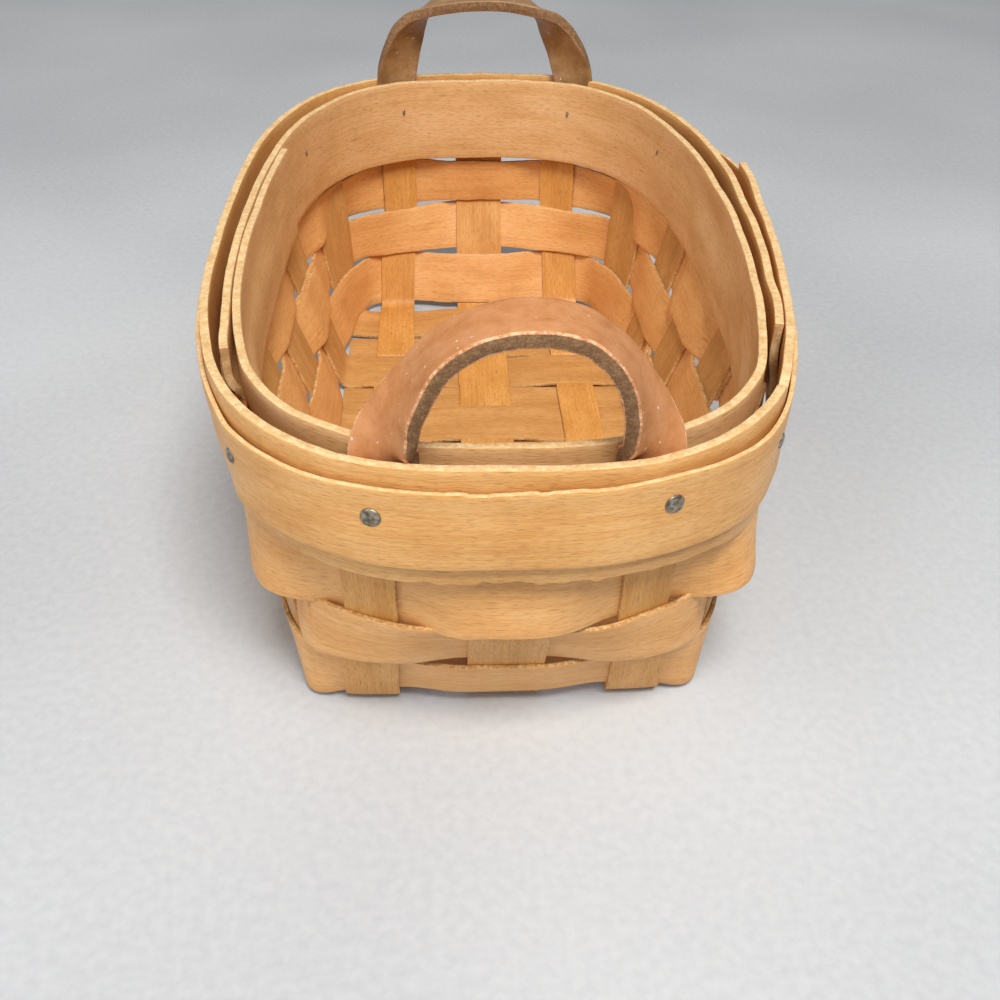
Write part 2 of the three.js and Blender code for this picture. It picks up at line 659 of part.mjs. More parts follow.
const cutters = [];
const tacks = [];
for (const [name, distance] of Object.entries(tackPlaces)) {
  const { point, outward } = onOutline(RIM_HEIGHT, distance);
  const trimDoubled = within(trimLap, distance) ? trimLapLift : 0;
  const headFace = trimMid + TRIM_THICKNESS / 2 + outerLapBulge(distance) + trimDoubled + TACK_SEAT;
  const innerDoubled = within(innerLap, distance) ? innerLapLift : 0;
  const innerFace = innerBandMid - INNER_BAND_THICKNESS / 2 - innerDoubled;
  const length = headFace - innerFace + TACK_POINT / 2;
  const turn = Math.atan2(outward.y, outward.x);
  const seat = new THREE.Vector3(point.x + outward.x * headFace, point.y + outward.y * headFace, tackZ);
  tacks.push({ name, length, seat, turn });
  const hole = new THREE.CylinderGeometry(
    TACK_SHANK_RADIUS + TACK_HOLE_CLEARANCE, TACK_SHANK_RADIUS + TACK_HOLE_CLEARANCE, 4 * length, 10,
  );
  hole.rotateZ(-Math.PI / 2);
  hole.rotateZ(turn);
  hole.translate(seat.x, seat.y, seat.z);
  cutters.push(toSolid(hole));
}

addPiece('inner_band', cutAll(innerBandGeometry, cutters), 'band');
addPiece('outer_band', cutAll(outerBandGeometry, cutters), 'band');
addPiece('trim_band', cutAll(trimGeometry, cutters), 'band');
addPiece('front_ear', cutAll(earGeometry(FRONT_EAR, 0), cutters), 'leather');
addPiece('back_ear', cutAll(earGeometry(BACK_EAR, 2), cutters), 'leather');

for (const { name, length, seat, turn } of tacks) {
  const tack = addPiece(name, tackGeometry(length), 'tack');
  tack.geometry.rotateZ(-Math.PI / 2);
  tack.rotation.z = turn;
  tack.position.copy(seat);
}

export default basket;
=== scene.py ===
# %% [markdown]
# # A small oval splint basket
# The basket is woven from flat strips of maple veneer. Three strips run lengthwise and six run
# across, woven through each other as the base, and all of them turn up as the uprights of the
# wall. Five short fillers close the base from below. Four long strips, the weavers, go round the
# wall. Two stiff bands clamp the top row between them, a narrower trim band goes round outside,
# small steel tacks go through everything, and a leather ear stands at each end.
#
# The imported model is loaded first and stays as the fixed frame. Each strip is then drawn again
# with a finer mesh along the same course, so that it can have smooth bends, uneven edges and
# grain that follows it. Where the handmade basket leans, sags or gapes, the fine strip does too.

import math

import bmesh
import bpy
import numpy as np
from mathutils import Matrix, Vector


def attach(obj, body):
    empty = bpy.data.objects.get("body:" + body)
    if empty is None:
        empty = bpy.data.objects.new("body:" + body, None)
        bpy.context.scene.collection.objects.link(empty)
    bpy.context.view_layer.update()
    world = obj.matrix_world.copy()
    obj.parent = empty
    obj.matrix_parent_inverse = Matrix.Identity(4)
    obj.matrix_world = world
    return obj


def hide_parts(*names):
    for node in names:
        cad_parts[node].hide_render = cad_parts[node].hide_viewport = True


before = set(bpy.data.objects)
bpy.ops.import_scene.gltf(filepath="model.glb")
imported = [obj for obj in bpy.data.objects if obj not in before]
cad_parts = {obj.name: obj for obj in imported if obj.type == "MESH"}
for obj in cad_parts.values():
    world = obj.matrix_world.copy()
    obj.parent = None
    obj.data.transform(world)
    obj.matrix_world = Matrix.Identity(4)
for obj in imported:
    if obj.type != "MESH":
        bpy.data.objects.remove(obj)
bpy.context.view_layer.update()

MM = 0.001

# %% [markdown]
# ## The sizes that drive the weave
# All sizes are in millimetres, and the front of the basket is the end at -Y. The outlines, the
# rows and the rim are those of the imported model, so that every fine strip lies on its plain
# solid. The veneer and the bands are a little thinner, and the splints and fillers have the
# widths that show from above. What can be worked out from another size is worked out.

# %% Sizes
SPLINT_THICKNESS = 0.85
WEAVE_CLEARANCE = 0.1
BASE_CLEARANCE = 0.12
WIDE, CENTRE, NARROW, FILLER = 16.0, 14.2, 10.6, 11.0
FILLER_OVERHANG = 8.6
LENGTHWISE_SPACING = 26.0
CROSS_COUNT = 6
CROSS_PITCH = 27.6
END_STEP = 2.2
END_FAN, SIDE_FAN = -0.06, 0.06
BEND_RADIUS = 2.2

FIRST_ROW_Z = 3.5
ROW_GAP = 1.4
ROW_BELOW_BAND = 2.0
TOP_ROW_WIDTH = 9.0
OPEN_ROWS = 3
UPRIGHT_ABOVE_ROWS = 0.3

# half width, half length and squareness
BASE_OUTLINE = (40.0, 83.2, 12.0)
RIM_OUTLINE = (55.6, 96.0, 2.9)
# how far the ends bow out above the first and the second row, and how far to each side
FIRST_BOW = (2.0, 90.0)
SECOND_BOW = (5.4, 34.0)

RIM_HEIGHT = 68.6
# width and thickness
INNER_BAND = (22.8, 1.6)
OUTER_BAND = (22.6, 1.7)
TRIM_BAND = (15.0, 0.9)
TRIM_BELOW_RIM = 3.3

base_offset = (SPLINT_THICKNESS + BASE_CLEARANCE) / 2
base_mid_z = base_offset + SPLINT_THICKNESS / 2
rows_top_z = RIM_HEIGHT - INNER_BAND[0] - ROW_BELOW_BAND
row_pitch = (rows_top_z + ROW_GAP - FIRST_ROW_Z) / OPEN_ROWS
row_width = row_pitch - ROW_GAP
wall_top_z = FIRST_ROW_Z + OPEN_ROWS * row_pitch - ROW_GAP / 2
upright_top_z = FIRST_ROW_Z + OPEN_ROWS * row_pitch + TOP_ROW_WIDTH + UPRIGHT_ABOVE_ROWS
print("rows every", round(row_pitch, 2), "mm; uprights end at", round(upright_top_z, 2), "mm")

# %% [markdown]
# ## The shape of the wall
# On the real basket the base was woven over a rectangular mould and the rim bent to an oval.
# The uprights run almost straight from one to the other, so the wall is a ruled surface between
# two superellipses, and only the two ends bow out a little. One function gives a place on this
# wall from a height, a distance round the basket and an offset outwards, and every strip uses
# it. Computing the wall once keeps all the strips in step with each other.

# %% The wall as a function
OUTLINE_STEPS = 1440
TANGENT_STEPS = 6
angles = np.arange(OUTLINE_STEPS + 1) / OUTLINE_STEPS * 2 * np.pi - np.pi / 2


def superellipse(half_width, half_length, squareness):
    cosine, sine = np.cos(angles), np.sin(angles)
    x = half_width * np.sign(cosine) * np.abs(cosine) ** (2 / squareness)
    y = half_length * np.sign(sine) * np.abs(sine) ** (2 / squareness)
    return np.stack([x, y], axis=1)


def bow(size, x):
    depth, reach = size
    return depth * np.cos(np.pi / 2 * np.minimum(1, np.abs(x) / reach)) ** 2


NO_BOW = (0.0, 1.0)
bow_levels = [
    (base_mid_z, NO_BOW),
    (FIRST_ROW_Z + row_pitch - ROW_GAP / 2, FIRST_BOW),
    (FIRST_ROW_Z + 2 * row_pitch - ROW_GAP / 2, SECOND_BOW),
    (wall_top_z, NO_BOW),
]
outlines = {}


def outline(z):
    """The wall's outline at a height: its points, outward directions and distances along."""
    key = round(z, 3)
    if key in outlines:
        return outlines[key]
    # the foot of the wall curves in towards the base on the bend radius
    to_go = min(max(0.0, BEND_RADIUS - (z - base_mid_z)), BEND_RADIUS)
    inset = BEND_RADIUS - math.sqrt(BEND_RADIUS**2 - to_go**2)
    half_width, half_length, squareness = BASE_OUTLINE
    low = superellipse(half_width - inset, half_length - inset, squareness)
    climb = min(max((z - base_mid_z) / (wall_top_z - base_mid_z), 0.0), 1.0)
    points = low + (superellipse(*RIM_OUTLINE) - low) * climb
    for (low_z, low_bow), (high_z, high_bow) in zip(bow_levels, bow_levels[1:]):
        if low_z < z <= high_z:
            t = (z - low_z) / (high_z - low_z)
            depth = (1 - t) * bow(low_bow, points[:, 0]) + t * bow(high_bow, points[:, 0])
            points[:, 1] += depth * np.sin(angles)
    steps = np.hypot(*np.diff(points, axis=0).T)
    along = np.concatenate([[0.0], np.cumsum(steps)])
    ring = points[:-1]
    tangent = np.roll(ring, -TANGENT_STEPS, axis=0) - np.roll(ring, TANGENT_STEPS, axis=0)
    tangent /= np.linalg.norm(tangent, axis=1)[:, None]
    outward = np.stack([tangent[:, 1], -tangent[:, 0]], axis=1)
    outward = np.vstack([outward, outward[:1]])
    outlines[key] = (points, outward, along)
    return outlines[key]


def rim_length(z=RIM_HEIGHT):
    return outline(z)[2][-1]


def on_wall(z, distance, offset):
    """Points of the wall at one height, for arrays of distances and offsets, in millimetres."""
    points, outward, along = outline(z)
    distance = np.mod(distance, along[-1])
    place = np.stack([np.interp(distance, along, points[:, k]) for k in (0, 1)], axis=-1)
    normal = np.stack([np.interp(distance, along, outward[:, k]) for k in (0, 1)], axis=-1)
    normal /= np.linalg.norm(normal, axis=-1)[..., None]
    flat = place + normal * np.asarray(offset)[..., None]
    return np.concatenate([flat, np.full(flat.shape[:-1] + (1,), z)], axis=-1)


print("rim length", round(rim_length(), 1), "mm")

# %% [markdown]
# ## The lanes
# A lane is a place where an upright stands in the wall. There are eighteen: three at each end
# and six at each side. They are listed in order round the basket, starting at the middle of
# the front, because each weaver passes outside one lane and inside the next. A lane holds its
# side (0 front, 1 right, 2 back, 3 left), its distance from the middle of that side, its width,
# how much it fans out towards the rim, and the whole turns to add.

# %% Lanes
cross_places = [(i - (CROSS_COUNT - 1) / 2) * CROSS_PITCH for i in range(CROSS_COUNT)]
cross_places[0] -= END_STEP
cross_places[-1] += END_STEP
lanes = [(0, 0.0, CENTRE, END_FAN, 0), (0, LENGTHWISE_SPACING, NARROW, END_FAN, 0)]
lanes += [(1, y, WIDE, SIDE_FAN, 0) for y in cross_places]
lanes += [(2, -LENGTHWISE_SPACING, NARROW, END_FAN, 0), (2, 0.0, CENTRE, END_FAN, 0)]
lanes += [(2, LENGTHWISE_SPACING, NARROW, END_FAN, 0)]
lanes += [(3, y, WIDE, SIDE_FAN, 0) for y in cross_places]
lanes += [(0, -LENGTHWISE_SPACING, NARROW, END_FAN, 1)]


def lane_distance(index, z):
    """How far round the basket a lane lies, counting on past the first turn."""
    side, reach, _, fan, more_turns = lanes[index % len(lanes)]
    length = rim_length(z)
    climb = min(max((z - base_mid_z) / (upright_top_z - base_mid_z), 0.0), 1.0)
    turns = index // len(lanes) + more_turns
    return side * length / 4 + reach * (1 + fan * climb) + turns * length


print(len(lanes), "lanes")

# %% [markdown]
# ## Places on the rim and curves through stops
# Nothing on the real rim is exact: the bands lean in or out, stand off at the corners and were
# cut by eye. Such a line is given by a few stops, each a place and a size in millimetres, and
# a smooth curve runs through them. A place counts quarters of the way round: 0 is the middle
# of the front, 1 the middle of the right side, 2 the back and 3 the left side.

# %% Curves through stops
def smooth(t):
    """From 0 to 1 with a level start and finish."""
    t = np.clip(t, 0.0, 1.0)
    return t * t * (3 - 2 * t)


def through(stops, place):
    """A smooth line through a few (place, millimetres) stops, level beyond the first and last."""
    at, size = np.array(sorted(stops), dtype=float).T
    place = np.asarray(place, dtype=float)
    slopes = np.diff(size) / np.diff(at)
    lean = np.concatenate([[0.0], (slopes[:-1] + slopes[1:]) / 2, [0.0]])
    lean[1:-1][slopes[:-1] * slopes[1:] <= 0] = 0.0
    k = np.clip(np.searchsorted(at, place) - 1, 0, len(at) - 2)
    width = at[k + 1] - at[k]
    t = np.clip((place - at[k]) / width, 0.0, 1.0)
    from_low = size[k] + lean[k] * width * t * (1 - t) ** 2
    to_high = size[k + 1] - lean[k + 1] * width * (1 - t) * t**2
    return from_low + (to_high - from_low) * smooth(t)


def round_rim(stops, place):
    """The same for stops that go once round the basket."""
    more = [(at + turn, size) for turn in (-4, 0, 4) for at, size in stops]
    return through(more, np.mod(place, 4.0))


print("halfway from 0 to 2 mm the line is at", float(through([(0, 0), (1, 2)], 0.5)), "mm")

# %% [markdown]
# ## Colour and node helpers
# Every colour is written as the sRGB hex value that a colour picker would show, and one
# function turns it into the linear values that the shader needs. Another small function adds a
# node, sets it and links it, and sets the stops of a colour ramp, so that each material below
# reads from top to bottom.

# %% Helpers for materials
def colour(hex_text):
    values = [int(hex_text[i : i + 2], 16) / 255 for i in (1, 3, 5)]
    linear = [v / 12.92 if v <= 0.04045 else ((v + 0.055) / 1.055) ** 2.4 for v in values]
    return (*linear, 1.0)


def grey(value):
    return (value, value, value, 1.0)


def add_node(tree, kind, inputs=None, stops=(), **settings):
    """A node with its settings, its inputs linked or set, and the stops of its colour ramp."""
    made = tree.nodes.new(kind)
    for key, value in settings.items():
        setattr(made, key, value)
    for key, value in (inputs or {}).items():
        if isinstance(value, bpy.types.NodeSocket):
            tree.links.new(value, made.inputs[key])
        else:
            made.inputs[key].default_value = value
    # a new ramp has two stops
    for _ in stops[2:]:
        made.color_ramp.elements.new(0.5)
    for i, (position, value) in enumerate(stops):
        made.color_ramp.elements[i].position = position
        made.color_ramp.elements[i].color = value
    return made


def new_material(name):
    made = bpy.data.materials.new(name)
    made.use_nodes = True
    made.node_tree.nodes.clear()
    return made, made.node_tree


print("#dda560 in linear values is", [round(v, 3) for v in colour("#dda560")[:3]])

# %% [markdown]
# ## Maple splint
# Maple veneer is sliced along the trunk and lightly oiled. It is an even honey colour with very
# little figure: what the eye sees is thousands of short brown pores and flecks along the grain,
# a faint silky streak and slow oily blotches. The pattern reads the strip's own UV map, which
# is in metres along and across the strip, so the grain follows every bend. Each piece has its
# UVs moved to another place, so no two strips look the same. The uprights, the weavers and the
# two sides of the rim differ a little in colour, so each has its own maple. The maple of the
# base and the sides is darker: painted shade for the floor inside the basket, which darkens
# the side uprights as well.

# %% Maple materials
def maple(name, dark, middle, light, fleck, roughness=0.5):
    made, tree = new_material(name)
    uv = add_node(tree, "ShaderNodeUVMap", uv_map="grain").outputs["UV"]
    # silky streaks: 0.7 mm apart, running on for about 25 mm
    streaks_at = add_node(tree, "ShaderNodeMapping", {"Vector": uv, "Scale": (40, 1400, 1)})
    streaks = add_node(
        tree,
        "ShaderNodeTexNoise",
        {"Vector": streaks_at.outputs[0], "Scale": 1.0, "Detail": 3.0, "Roughness": 0.6},
    ).outputs["Fac"]
    # blotches of oil and slow figure: about 20 mm long and 8 mm wide
    blotch_at = add_node(tree, "ShaderNodeMapping", {"Vector": uv, "Scale": (50, 120, 1)})
    blotches = add_node(
        tree,
        "ShaderNodeTexNoise",
        {"Vector": blotch_at.outputs[0], "Scale": 1.0, "Detail": 4.0, "Roughness": 0.55},
    ).outputs["Fac"]
    # pores: 2 mm long and 0.2 mm wide, the real ones are half as wide
    pores_at = add_node(tree, "ShaderNodeMapping", {"Vector": uv, "Scale": (480, 4300, 1)})
    pores = add_node(
        tree,
        "ShaderNodeTexNoise",
        {"Vector": pores_at.outputs[0], "Scale": 1.0, "Detail": 2.0, "Roughness": 0.55},
    ).outputs["Fac"]
    # flecks: rare and darker, 4 mm long
    flecks_at = add_node(tree, "ShaderNodeMapping", {"Vector": uv, "Scale": (230, 2300, 1)})
    flecks = add_node(
        tree, "ShaderNodeTexNoise", {"Vector": flecks_at.outputs[0], "Scale": 1.0, "Detail": 1.0}
    ).outputs["Fac"]
    slow = add_node(
        tree, "ShaderNodeMath", {0: blotches, 1: 0.6}, operation="MULTIPLY"
    ).outputs[0]
    tone = add_node(
        tree, "ShaderNodeMath", {0: streaks, 1: 0.4, 2: slow}, operation="MULTIPLY_ADD"
    ).outputs[0]
    wood = add_node(
        tree,
        "ShaderNodeValToRGB",
        {"Fac": tone},
        stops=[(0.38, colour(dark)), (0.5, colour(middle)), (0.62, colour(light))],
    ).outputs["Color"]
    fine = add_node(
        tree, "ShaderNodeValToRGB", {"Fac": pores}, stops=[(0.34, grey(0.4)), (0.5, grey(0.0))]
    ).outputs["Color"]
    wood = add_node(
        tree,
        "ShaderNodeMix",
        {"Factor": fine, "A": wood, "B": colour(fleck)},
        data_type="RGBA",
    ).outputs["Result"]
    rare = add_node(
        tree, "ShaderNodeValToRGB", {"Fac": flecks}, stops=[(0.67, grey(0.0)), (0.76, grey(0.6))]
    ).outputs["Color"]
    wood = add_node(
        tree,
        "ShaderNodeMix",
        {"Factor": rare, "A": wood, "B": colour(fleck)},
        data_type="RGBA",
    ).outputs["Result"]
    # the lighter blotches shine a little more, and the pores lie deeper than the streaks
    rough = add_node(
        tree,
        "ShaderNodeValToRGB",
        {"Fac": blotches},
        stops=[(0.3, grey(roughness + 0.08)), (0.7, grey(roughness - 0.06))],
    ).outputs["Color"]
    height = add_node(
        tree, "ShaderNodeMath", {0: fine, 1: -2.2, 2: streaks}, operation="MULTIPLY_ADD"
    ).outputs[0]
    bump = add_node(
        tree, "ShaderNodeBump", {"Height": height, "Strength": 0.35, "Distance": 0.0001}
    ).outputs["Normal"]
    shader = add_node(
        tree,
        "ShaderNodeBsdfPrincipled",
        {"Base Color": wood, "Roughness": rough, "Normal": bump, "IOR": 1.5},
    )
    add_node(tree, "ShaderNodeOutputMaterial", {"Surface": shader.outputs[0]})
    return made


upright_maple = maple("oiled maple splint, uprights", "#c68940", "#d3984c", "#dda45c", "#935a26")
# darker than the uprights: painted shade for the floor inside the basket
shade_painted_base_maple = maple("oiled maple splint with painted shade, base and sides", "#bb8747", "#c89353", "#d3a161", "#8c5727")
weaver_maple = maple("oiled maple splint, weavers", "#d69a56", "#e3a966", "#eab573", "#ab6d36")
band_maple = maple("oiled maple rim band", "#d19651", "#dda560", "#e5b270", "#a86c34", 0.46)
inner_maple = maple("oiled maple rim band, inside", "#cf9f64", "#dbae76", "#e2b785", "#a06a36")
print("five kinds of maple")

# %% [markdown]
# ## Cut edges
# Where the knife or the saw went through, the fibres stand open and take no oil. The edge is
# pale, matt and furry, which the eye reads as a light line along every strip. It is made from
# two noises on Object coordinates: single fibres, and tufts of about a millimetre. Cut leather
# is drawn in the same way, but its fibres are finer.

# %% Cut edges
def cut_edge(name, dark, middle, light, fineness=1.0):
    made, tree = new_material(name)
    place = add_node(tree, "ShaderNodeTexCoord").outputs["Object"]
    # at a fineness of 1: fibres 0.4 mm thick, twice the real size to show, and 1 mm tufts
    fibres = add_node(
        tree,
        "ShaderNodeTexNoise",
        {"Vector": place, "Scale": 1300.0 * fineness, "Detail": 3.0, "Roughness": 0.7},
    ).outputs["Fac"]
    tufts = add_node(
        tree, "ShaderNodeTexNoise", {"Vector": place, "Scale": 420.0 * fineness, "Detail": 2.0}
    ).outputs["Fac"]
    tone = add_node(
        tree, "ShaderNodeMath", {0: tufts, 1: 0.6, 2: fibres}, operation="MULTIPLY_ADD"
    ).outputs[0]
    fibre_colour = add_node(
        tree,
        "ShaderNodeValToRGB",
        {"Fac": tone},
        stops=[(0.6, colour(dark)), (0.78, colour(middle)), (0.95, colour(light))],
    ).outputs["Color"]
    bump = add_node(
        tree, "ShaderNodeBump", {"Height": tone, "Strength": 0.7, "Distance": 0.0002}
    ).outputs["Normal"]
    shader = add_node(
        tree,
        "ShaderNodeBsdfPrincipled",
        {"Base Color": fibre_colour, "Roughness": 0.8, "Normal": bump, "IOR": 1.5},
    )
    add_node(tree, "ShaderNodeOutputMaterial", {"Surface": shader.outputs[0]})
    return made


splint_edge = cut_edge("split edge of maple splint", "#ad7a44", "#c7965a", "#dfb87e")
band_edge = cut_edge("sawn edge of maple band", "#c79d66", "#d4af79", "#e2c391")
print(len(bpy.data.materials), "materials so far")

# %% [markdown]
# ## A strip of veneer
# Every wooden piece is a long flat strip. It starts as a flat grid whose points are then laid
# on the strip's middle surface, which keeps the faces even and gives each point its place
# along and across the strip for the grain. A Solidify modifier gives the thickness, with the
# pale cut material on the rim, and a small bevel takes the sharpness off the edges. The bevel
# takes the material next to it, unless a corner material is named. Laying a grid and thickening
# it later is easier to change than modelling a solid strip. An array of points has one row for
# each station along the strip and one column for each line across it.

# %% Uneven edges
SLOW_STATIONS, FAST_STATIONS = 14, 3


def wander(count, spacing, size, seed):
    """A random line around zero, bent every few stations, for edges that were cut by hand."""
    local = np.random.default_rng(seed)
    knots = max(4, int(count / spacing) + 3)
    values = local.normal(0, size, knots)
    x = np.linspace(0, knots - 1, count)
    return np.interp(x, np.arange(knots), values)


def uneven(points, size, seed):
    """Move the two long edges of a strip a little, each on its own."""
    along, across = points.shape[:2]
    outward = points[:, -1] - points[:, 0]
    outward = outward / np.linalg.norm(outward, axis=1)[:, None]
    lines = np.linspace(-1, 1, across)
    for side in (-1, 1):
        slow = wander(along, SLOW_STATIONS, size, seed + side)
        shift = slow + wander(along, FAST_STATIONS, size / 3, seed + 5 * side)
        weight = np.clip(lines * side, 0, 1) ** 2
        points = points + side * shift[:, None, None] * weight[None, :, None] * outward[:, None, :]
    return points


print("edges bend about every", SLOW_STATIONS, "stations, and a little every", FAST_STATIONS)

# %% Strip helper
SPLINT_BEVEL = 0.12
EDGE_SEGMENTS = 2
SHARP_ANGLE = math.radians(50)


def strip(name, node, points, thickness, materials, seed, bevel=SPLINT_BEVEL, corner=-1):
    """One strip from the points of its middle surface, in millimetres."""
    along, across = points.shape[:2]
    grid = bmesh.new()
    bmesh.ops.create_grid(grid, x_segments=along - 1, y_segments=across - 1, size=1)
    middle = points[:, across // 2]
    run = np.concatenate([[0], np.cumsum(np.linalg.norm(np.diff(middle, axis=0), axis=1))])
    width = np.linalg.norm(points[along // 2, -1] - points[along // 2, 0])
    local = np.random.default_rng(seed)
    slide = local.uniform(0, 3, 2)
    grain = grid.loops.layers.uv.new("grain")
    places = {}
    for vert in grid.verts:
        i = round((vert.co.x + 1) / 2 * (along - 1))
        j = round((vert.co.y + 1) / 2 * (across - 1))
        places[vert] = (i, j)
    for vert, (i, j) in places.items():
        vert.co = Vector(points[i, j]) * MM
    for face in grid.faces:
        face.smooth = True
        for loop in face.loops:
            i, j = places[loop.vert]
            loop[grain].uv = (run[i] * MM + slide[0], width * j / (across - 1) * MM + slide[1])
    mesh = bpy.data.meshes.new(name)
    grid.to_mesh(mesh)
    grid.free()
    for material in materials:
        mesh.materials.append(material)
    piece = bpy.data.objects.new(name, mesh)
    bpy.context.scene.collection.objects.link(piece)
    body = piece.modifiers.new("thickness", "SOLIDIFY")
    body.thickness = thickness * MM
    body.offset = 0
    body.use_even_offset = True
    body.material_offset_rim = 1
    soft = piece.modifiers.new("soft edge", "BEVEL")
    soft.width = bevel * MM
    soft.segments = EDGE_SEGMENTS
    soft.material = corner
    soft.limit_method = "ANGLE"
    soft.angle_limit = SHARP_ANGLE
    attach(piece, "root")
    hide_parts(node)
    return piece


print("a strip has a rim of cut material and edges of", EDGE_SEGMENTS, "segments")

# %% [markdown]
# ## The splints of the base and wall
# A splint lies flat in the base, dips under and rises over the ones it crosses, bends up with
# a small radius and stands in the wall to just under the rim. So its middle surface is worked
# out in three parts: up one side, through the base and up the other side. There is a station
# about every millimetre and a half, which keeps the little waves in the base smooth.

# %% Splint shapes
SPLINT_STATION, SPLINT_LINES = 1.5, 7
BEND_STEPS, WAVE_STEPS = 8, 11
ACROSS = np.linspace(-0.5, 0.5, SPLINT_LINES)
BEND_ANGLES = np.linspace(0, math.pi / 2, BEND_STEPS + 1)[:-1]
BEND_LEVELS = [base_mid_z + BEND_RADIUS * (1 - math.cos(angle)) for angle in BEND_ANGLES]
WALL_LEVELS = [base_mid_z + BEND_RADIUS, *np.arange(3 * SPLINT_STATION, upright_top_z, SPLINT_STATION)]


def upright_points(lane, mirrored):
    width = lanes[lane][2]
    places = -ACROSS if mirrored else ACROSS
    levels = [*BEND_LEVELS, *WALL_LEVELS, upright_top_z]
    return np.array([on_wall(z, lane_distance(lane, z) + places * width, 0 * places) for z in levels])


def base_heights(crossings):
    """Places along the flat part and their heights, level over each crossing."""
    places, heights = [], []
    for i, (at, width, over) in enumerate(crossings):
        if i > 0:
            last_at, last_width, last_over = crossings[i - 1]
            t = np.linspace(0, 1, WAVE_STEPS + 1)[1:-1]
            start, stop = last_at + last_width / 2, at - width / 2
            places += list(start + (stop - start) * t)
            heights += list(base_offset * (last_over + (over - last_over) * smooth(t)))
        steps = np.linspace(at - width / 2, at + width / 2, max(3, int(width / SPLINT_STATION)))
        places += list(steps)
        heights += [over * base_offset] * len(steps)
    return np.array(places), base_mid_z + np.array(heights)


def whole_splint(start_lane, end_lane, crossings, lay):
    start = upright_points(start_lane, False)[::-1]
    flat = np.array([lay(place, z) for place, z in zip(*base_heights(crossings))])
    return np.concatenate([start, flat, upright_points(end_lane, True)])


print("an upright is drawn at", len(BEND_LEVELS) + len(WALL_LEVELS) + 1, "heights")

# %% [markdown]
# ## Lengthwise and cross splints
# Each splint is given by its crossings: where the other one lies, how wide it is, and 1 to pass
# over it or -1 to pass under it. Over and under take turns, which is what holds a woven base
# together, and only the fillers are always passed over. The first number of each seed is kept
# for one kind of piece, so that no two pieces have the same uneven edges or grain.

# %% Lengthwise splints
SPLINT_WANDER = 0.12
filler_places = [(a + b) / 2 for a, b in zip(cross_places, cross_places[1:])]
upright_finish = [upright_maple, splint_edge]
# the cross splints and fillers carry the darker maple, the painted shade of the base
base_finish = [shade_painted_base_maple, splint_edge]
lengthwise = [
    ("left_lengthwise_splint", -LENGTHWISE_SPACING, NARROW, -1, 17, 10),
    ("centre_lengthwise_splint", 0.0, CENTRE, 1, 0, 9),
    ("right_lengthwise_splint", LENGTHWISE_SPACING, NARROW, -1, 1, 8),
]
for seed, (node, x, width, over_odd, front_lane, back_lane) in enumerate(lengthwise):
    crossings = [(y, FILLER + BASE_CLEARANCE, 1) for y in filler_places]
    for i, y in enumerate(cross_places):
        crossings.append((y, WIDE + BASE_CLEARANCE, over_odd if i % 2 == 0 else -over_odd))
    crossings.sort()
    points = whole_splint(
        front_lane,
        back_lane,
        crossings,
        lambda y, z: np.stack([x + ACROSS * width, 0 * ACROSS + y, 0 * ACROSS + z], axis=1),
    )
    points = uneven(points, SPLINT_WANDER, 100 + seed)
    strip("veneer_" + node, node, points, SPLINT_THICKNESS, upright_finish, 10 + seed)
print(len(lengthwise), "lengthwise splints of", len(points), "stations")

# %% Cross splints
for i, y in enumerate(cross_places):
    over_edge = 1 if i % 2 == 0 else -1
    crossings = [
        (-LENGTHWISE_SPACING, NARROW + BASE_CLEARANCE, over_edge),
        (0.0, CENTRE + BASE_CLEARANCE, -over_edge),
        (LENGTHWISE_SPACING, NARROW + BASE_CLEARANCE, over_edge),
    ]
    node = f"cross_splint_{i + 1}"
    # lanes 2 to 7 are on the right from front to back, and 11 to 16 on the left from back to front
    points = whole_splint(
        16 - i,
        2 + i,
        crossings,
        lambda x, z: np.stack([0 * ACROSS + x, y - ACROSS * WIDE, 0 * ACROSS + z], axis=1),
    )
    points = uneven(points, SPLINT_WANDER, 200 + i)
    strip("veneer_" + node, node, points, SPLINT_THICKNESS, base_finish, 20 + i)
print(len(cross_places), "cross splints of", len(points), "stations")

# %% [markdown]
# ## The fillers
# Between two cross splints the base would be open, so a short strip lies there under the three
# lengthwise splints. It is flat and nothing holds its ends, so each one lies slightly askew. A
# flat grid of points is all that it takes.

# %% Base fillers
FILLER_WANDER = 0.1
FILLER_STATIONS = 60
# sideways millimetres per millimetre of length
FILLER_SLANT = [0.007, -0.006, 0.003, -0.007, 0.006]
filler_half = LENGTHWISE_SPACING + NARROW / 2 + FILLER_OVERHANG
for i, y in enumerate(filler_places):
    x_places = np.linspace(-filler_half, filler_half, FILLER_STATIONS)
    y_places = y + np.linspace(-FILLER / 2, FILLER / 2, SPLINT_LINES)
    x_grid, y_grid = np.meshgrid(x_places, y_places, indexing="ij")
    z_grid = np.full_like(x_grid, base_mid_z - base_offset)
    points = np.stack([x_grid, y_grid + FILLER_SLANT[i] * x_grid, z_grid], axis=-1)
    points = uneven(points, FILLER_WANDER, 300 + i)
    node = f"base_filler_{i + 1}"
    strip("veneer_" + node, node, points, SPLINT_THICKNESS, base_finish, 30 + i)
print(len(filler_places), "fillers of", round(2 * filler_half, 1), "mm")

# %% [markdown]
# ## The shape of a weaver
# A weaver starts beside an upright and goes once round, over one and under the next. An open
# row then laps its own start for two uprights, and there the two layers lie on each other. Its
# lower and upper edge are laid on the wall first, each at its own height, and the lines between
# them are spread evenly. Rows aren't laid evenly by hand, so stops like the ones above widen or
# narrow the two edges, move them off the wall and press creases into the strip.

# %% The course of a weaver
WEAVER_STATION = 0.5


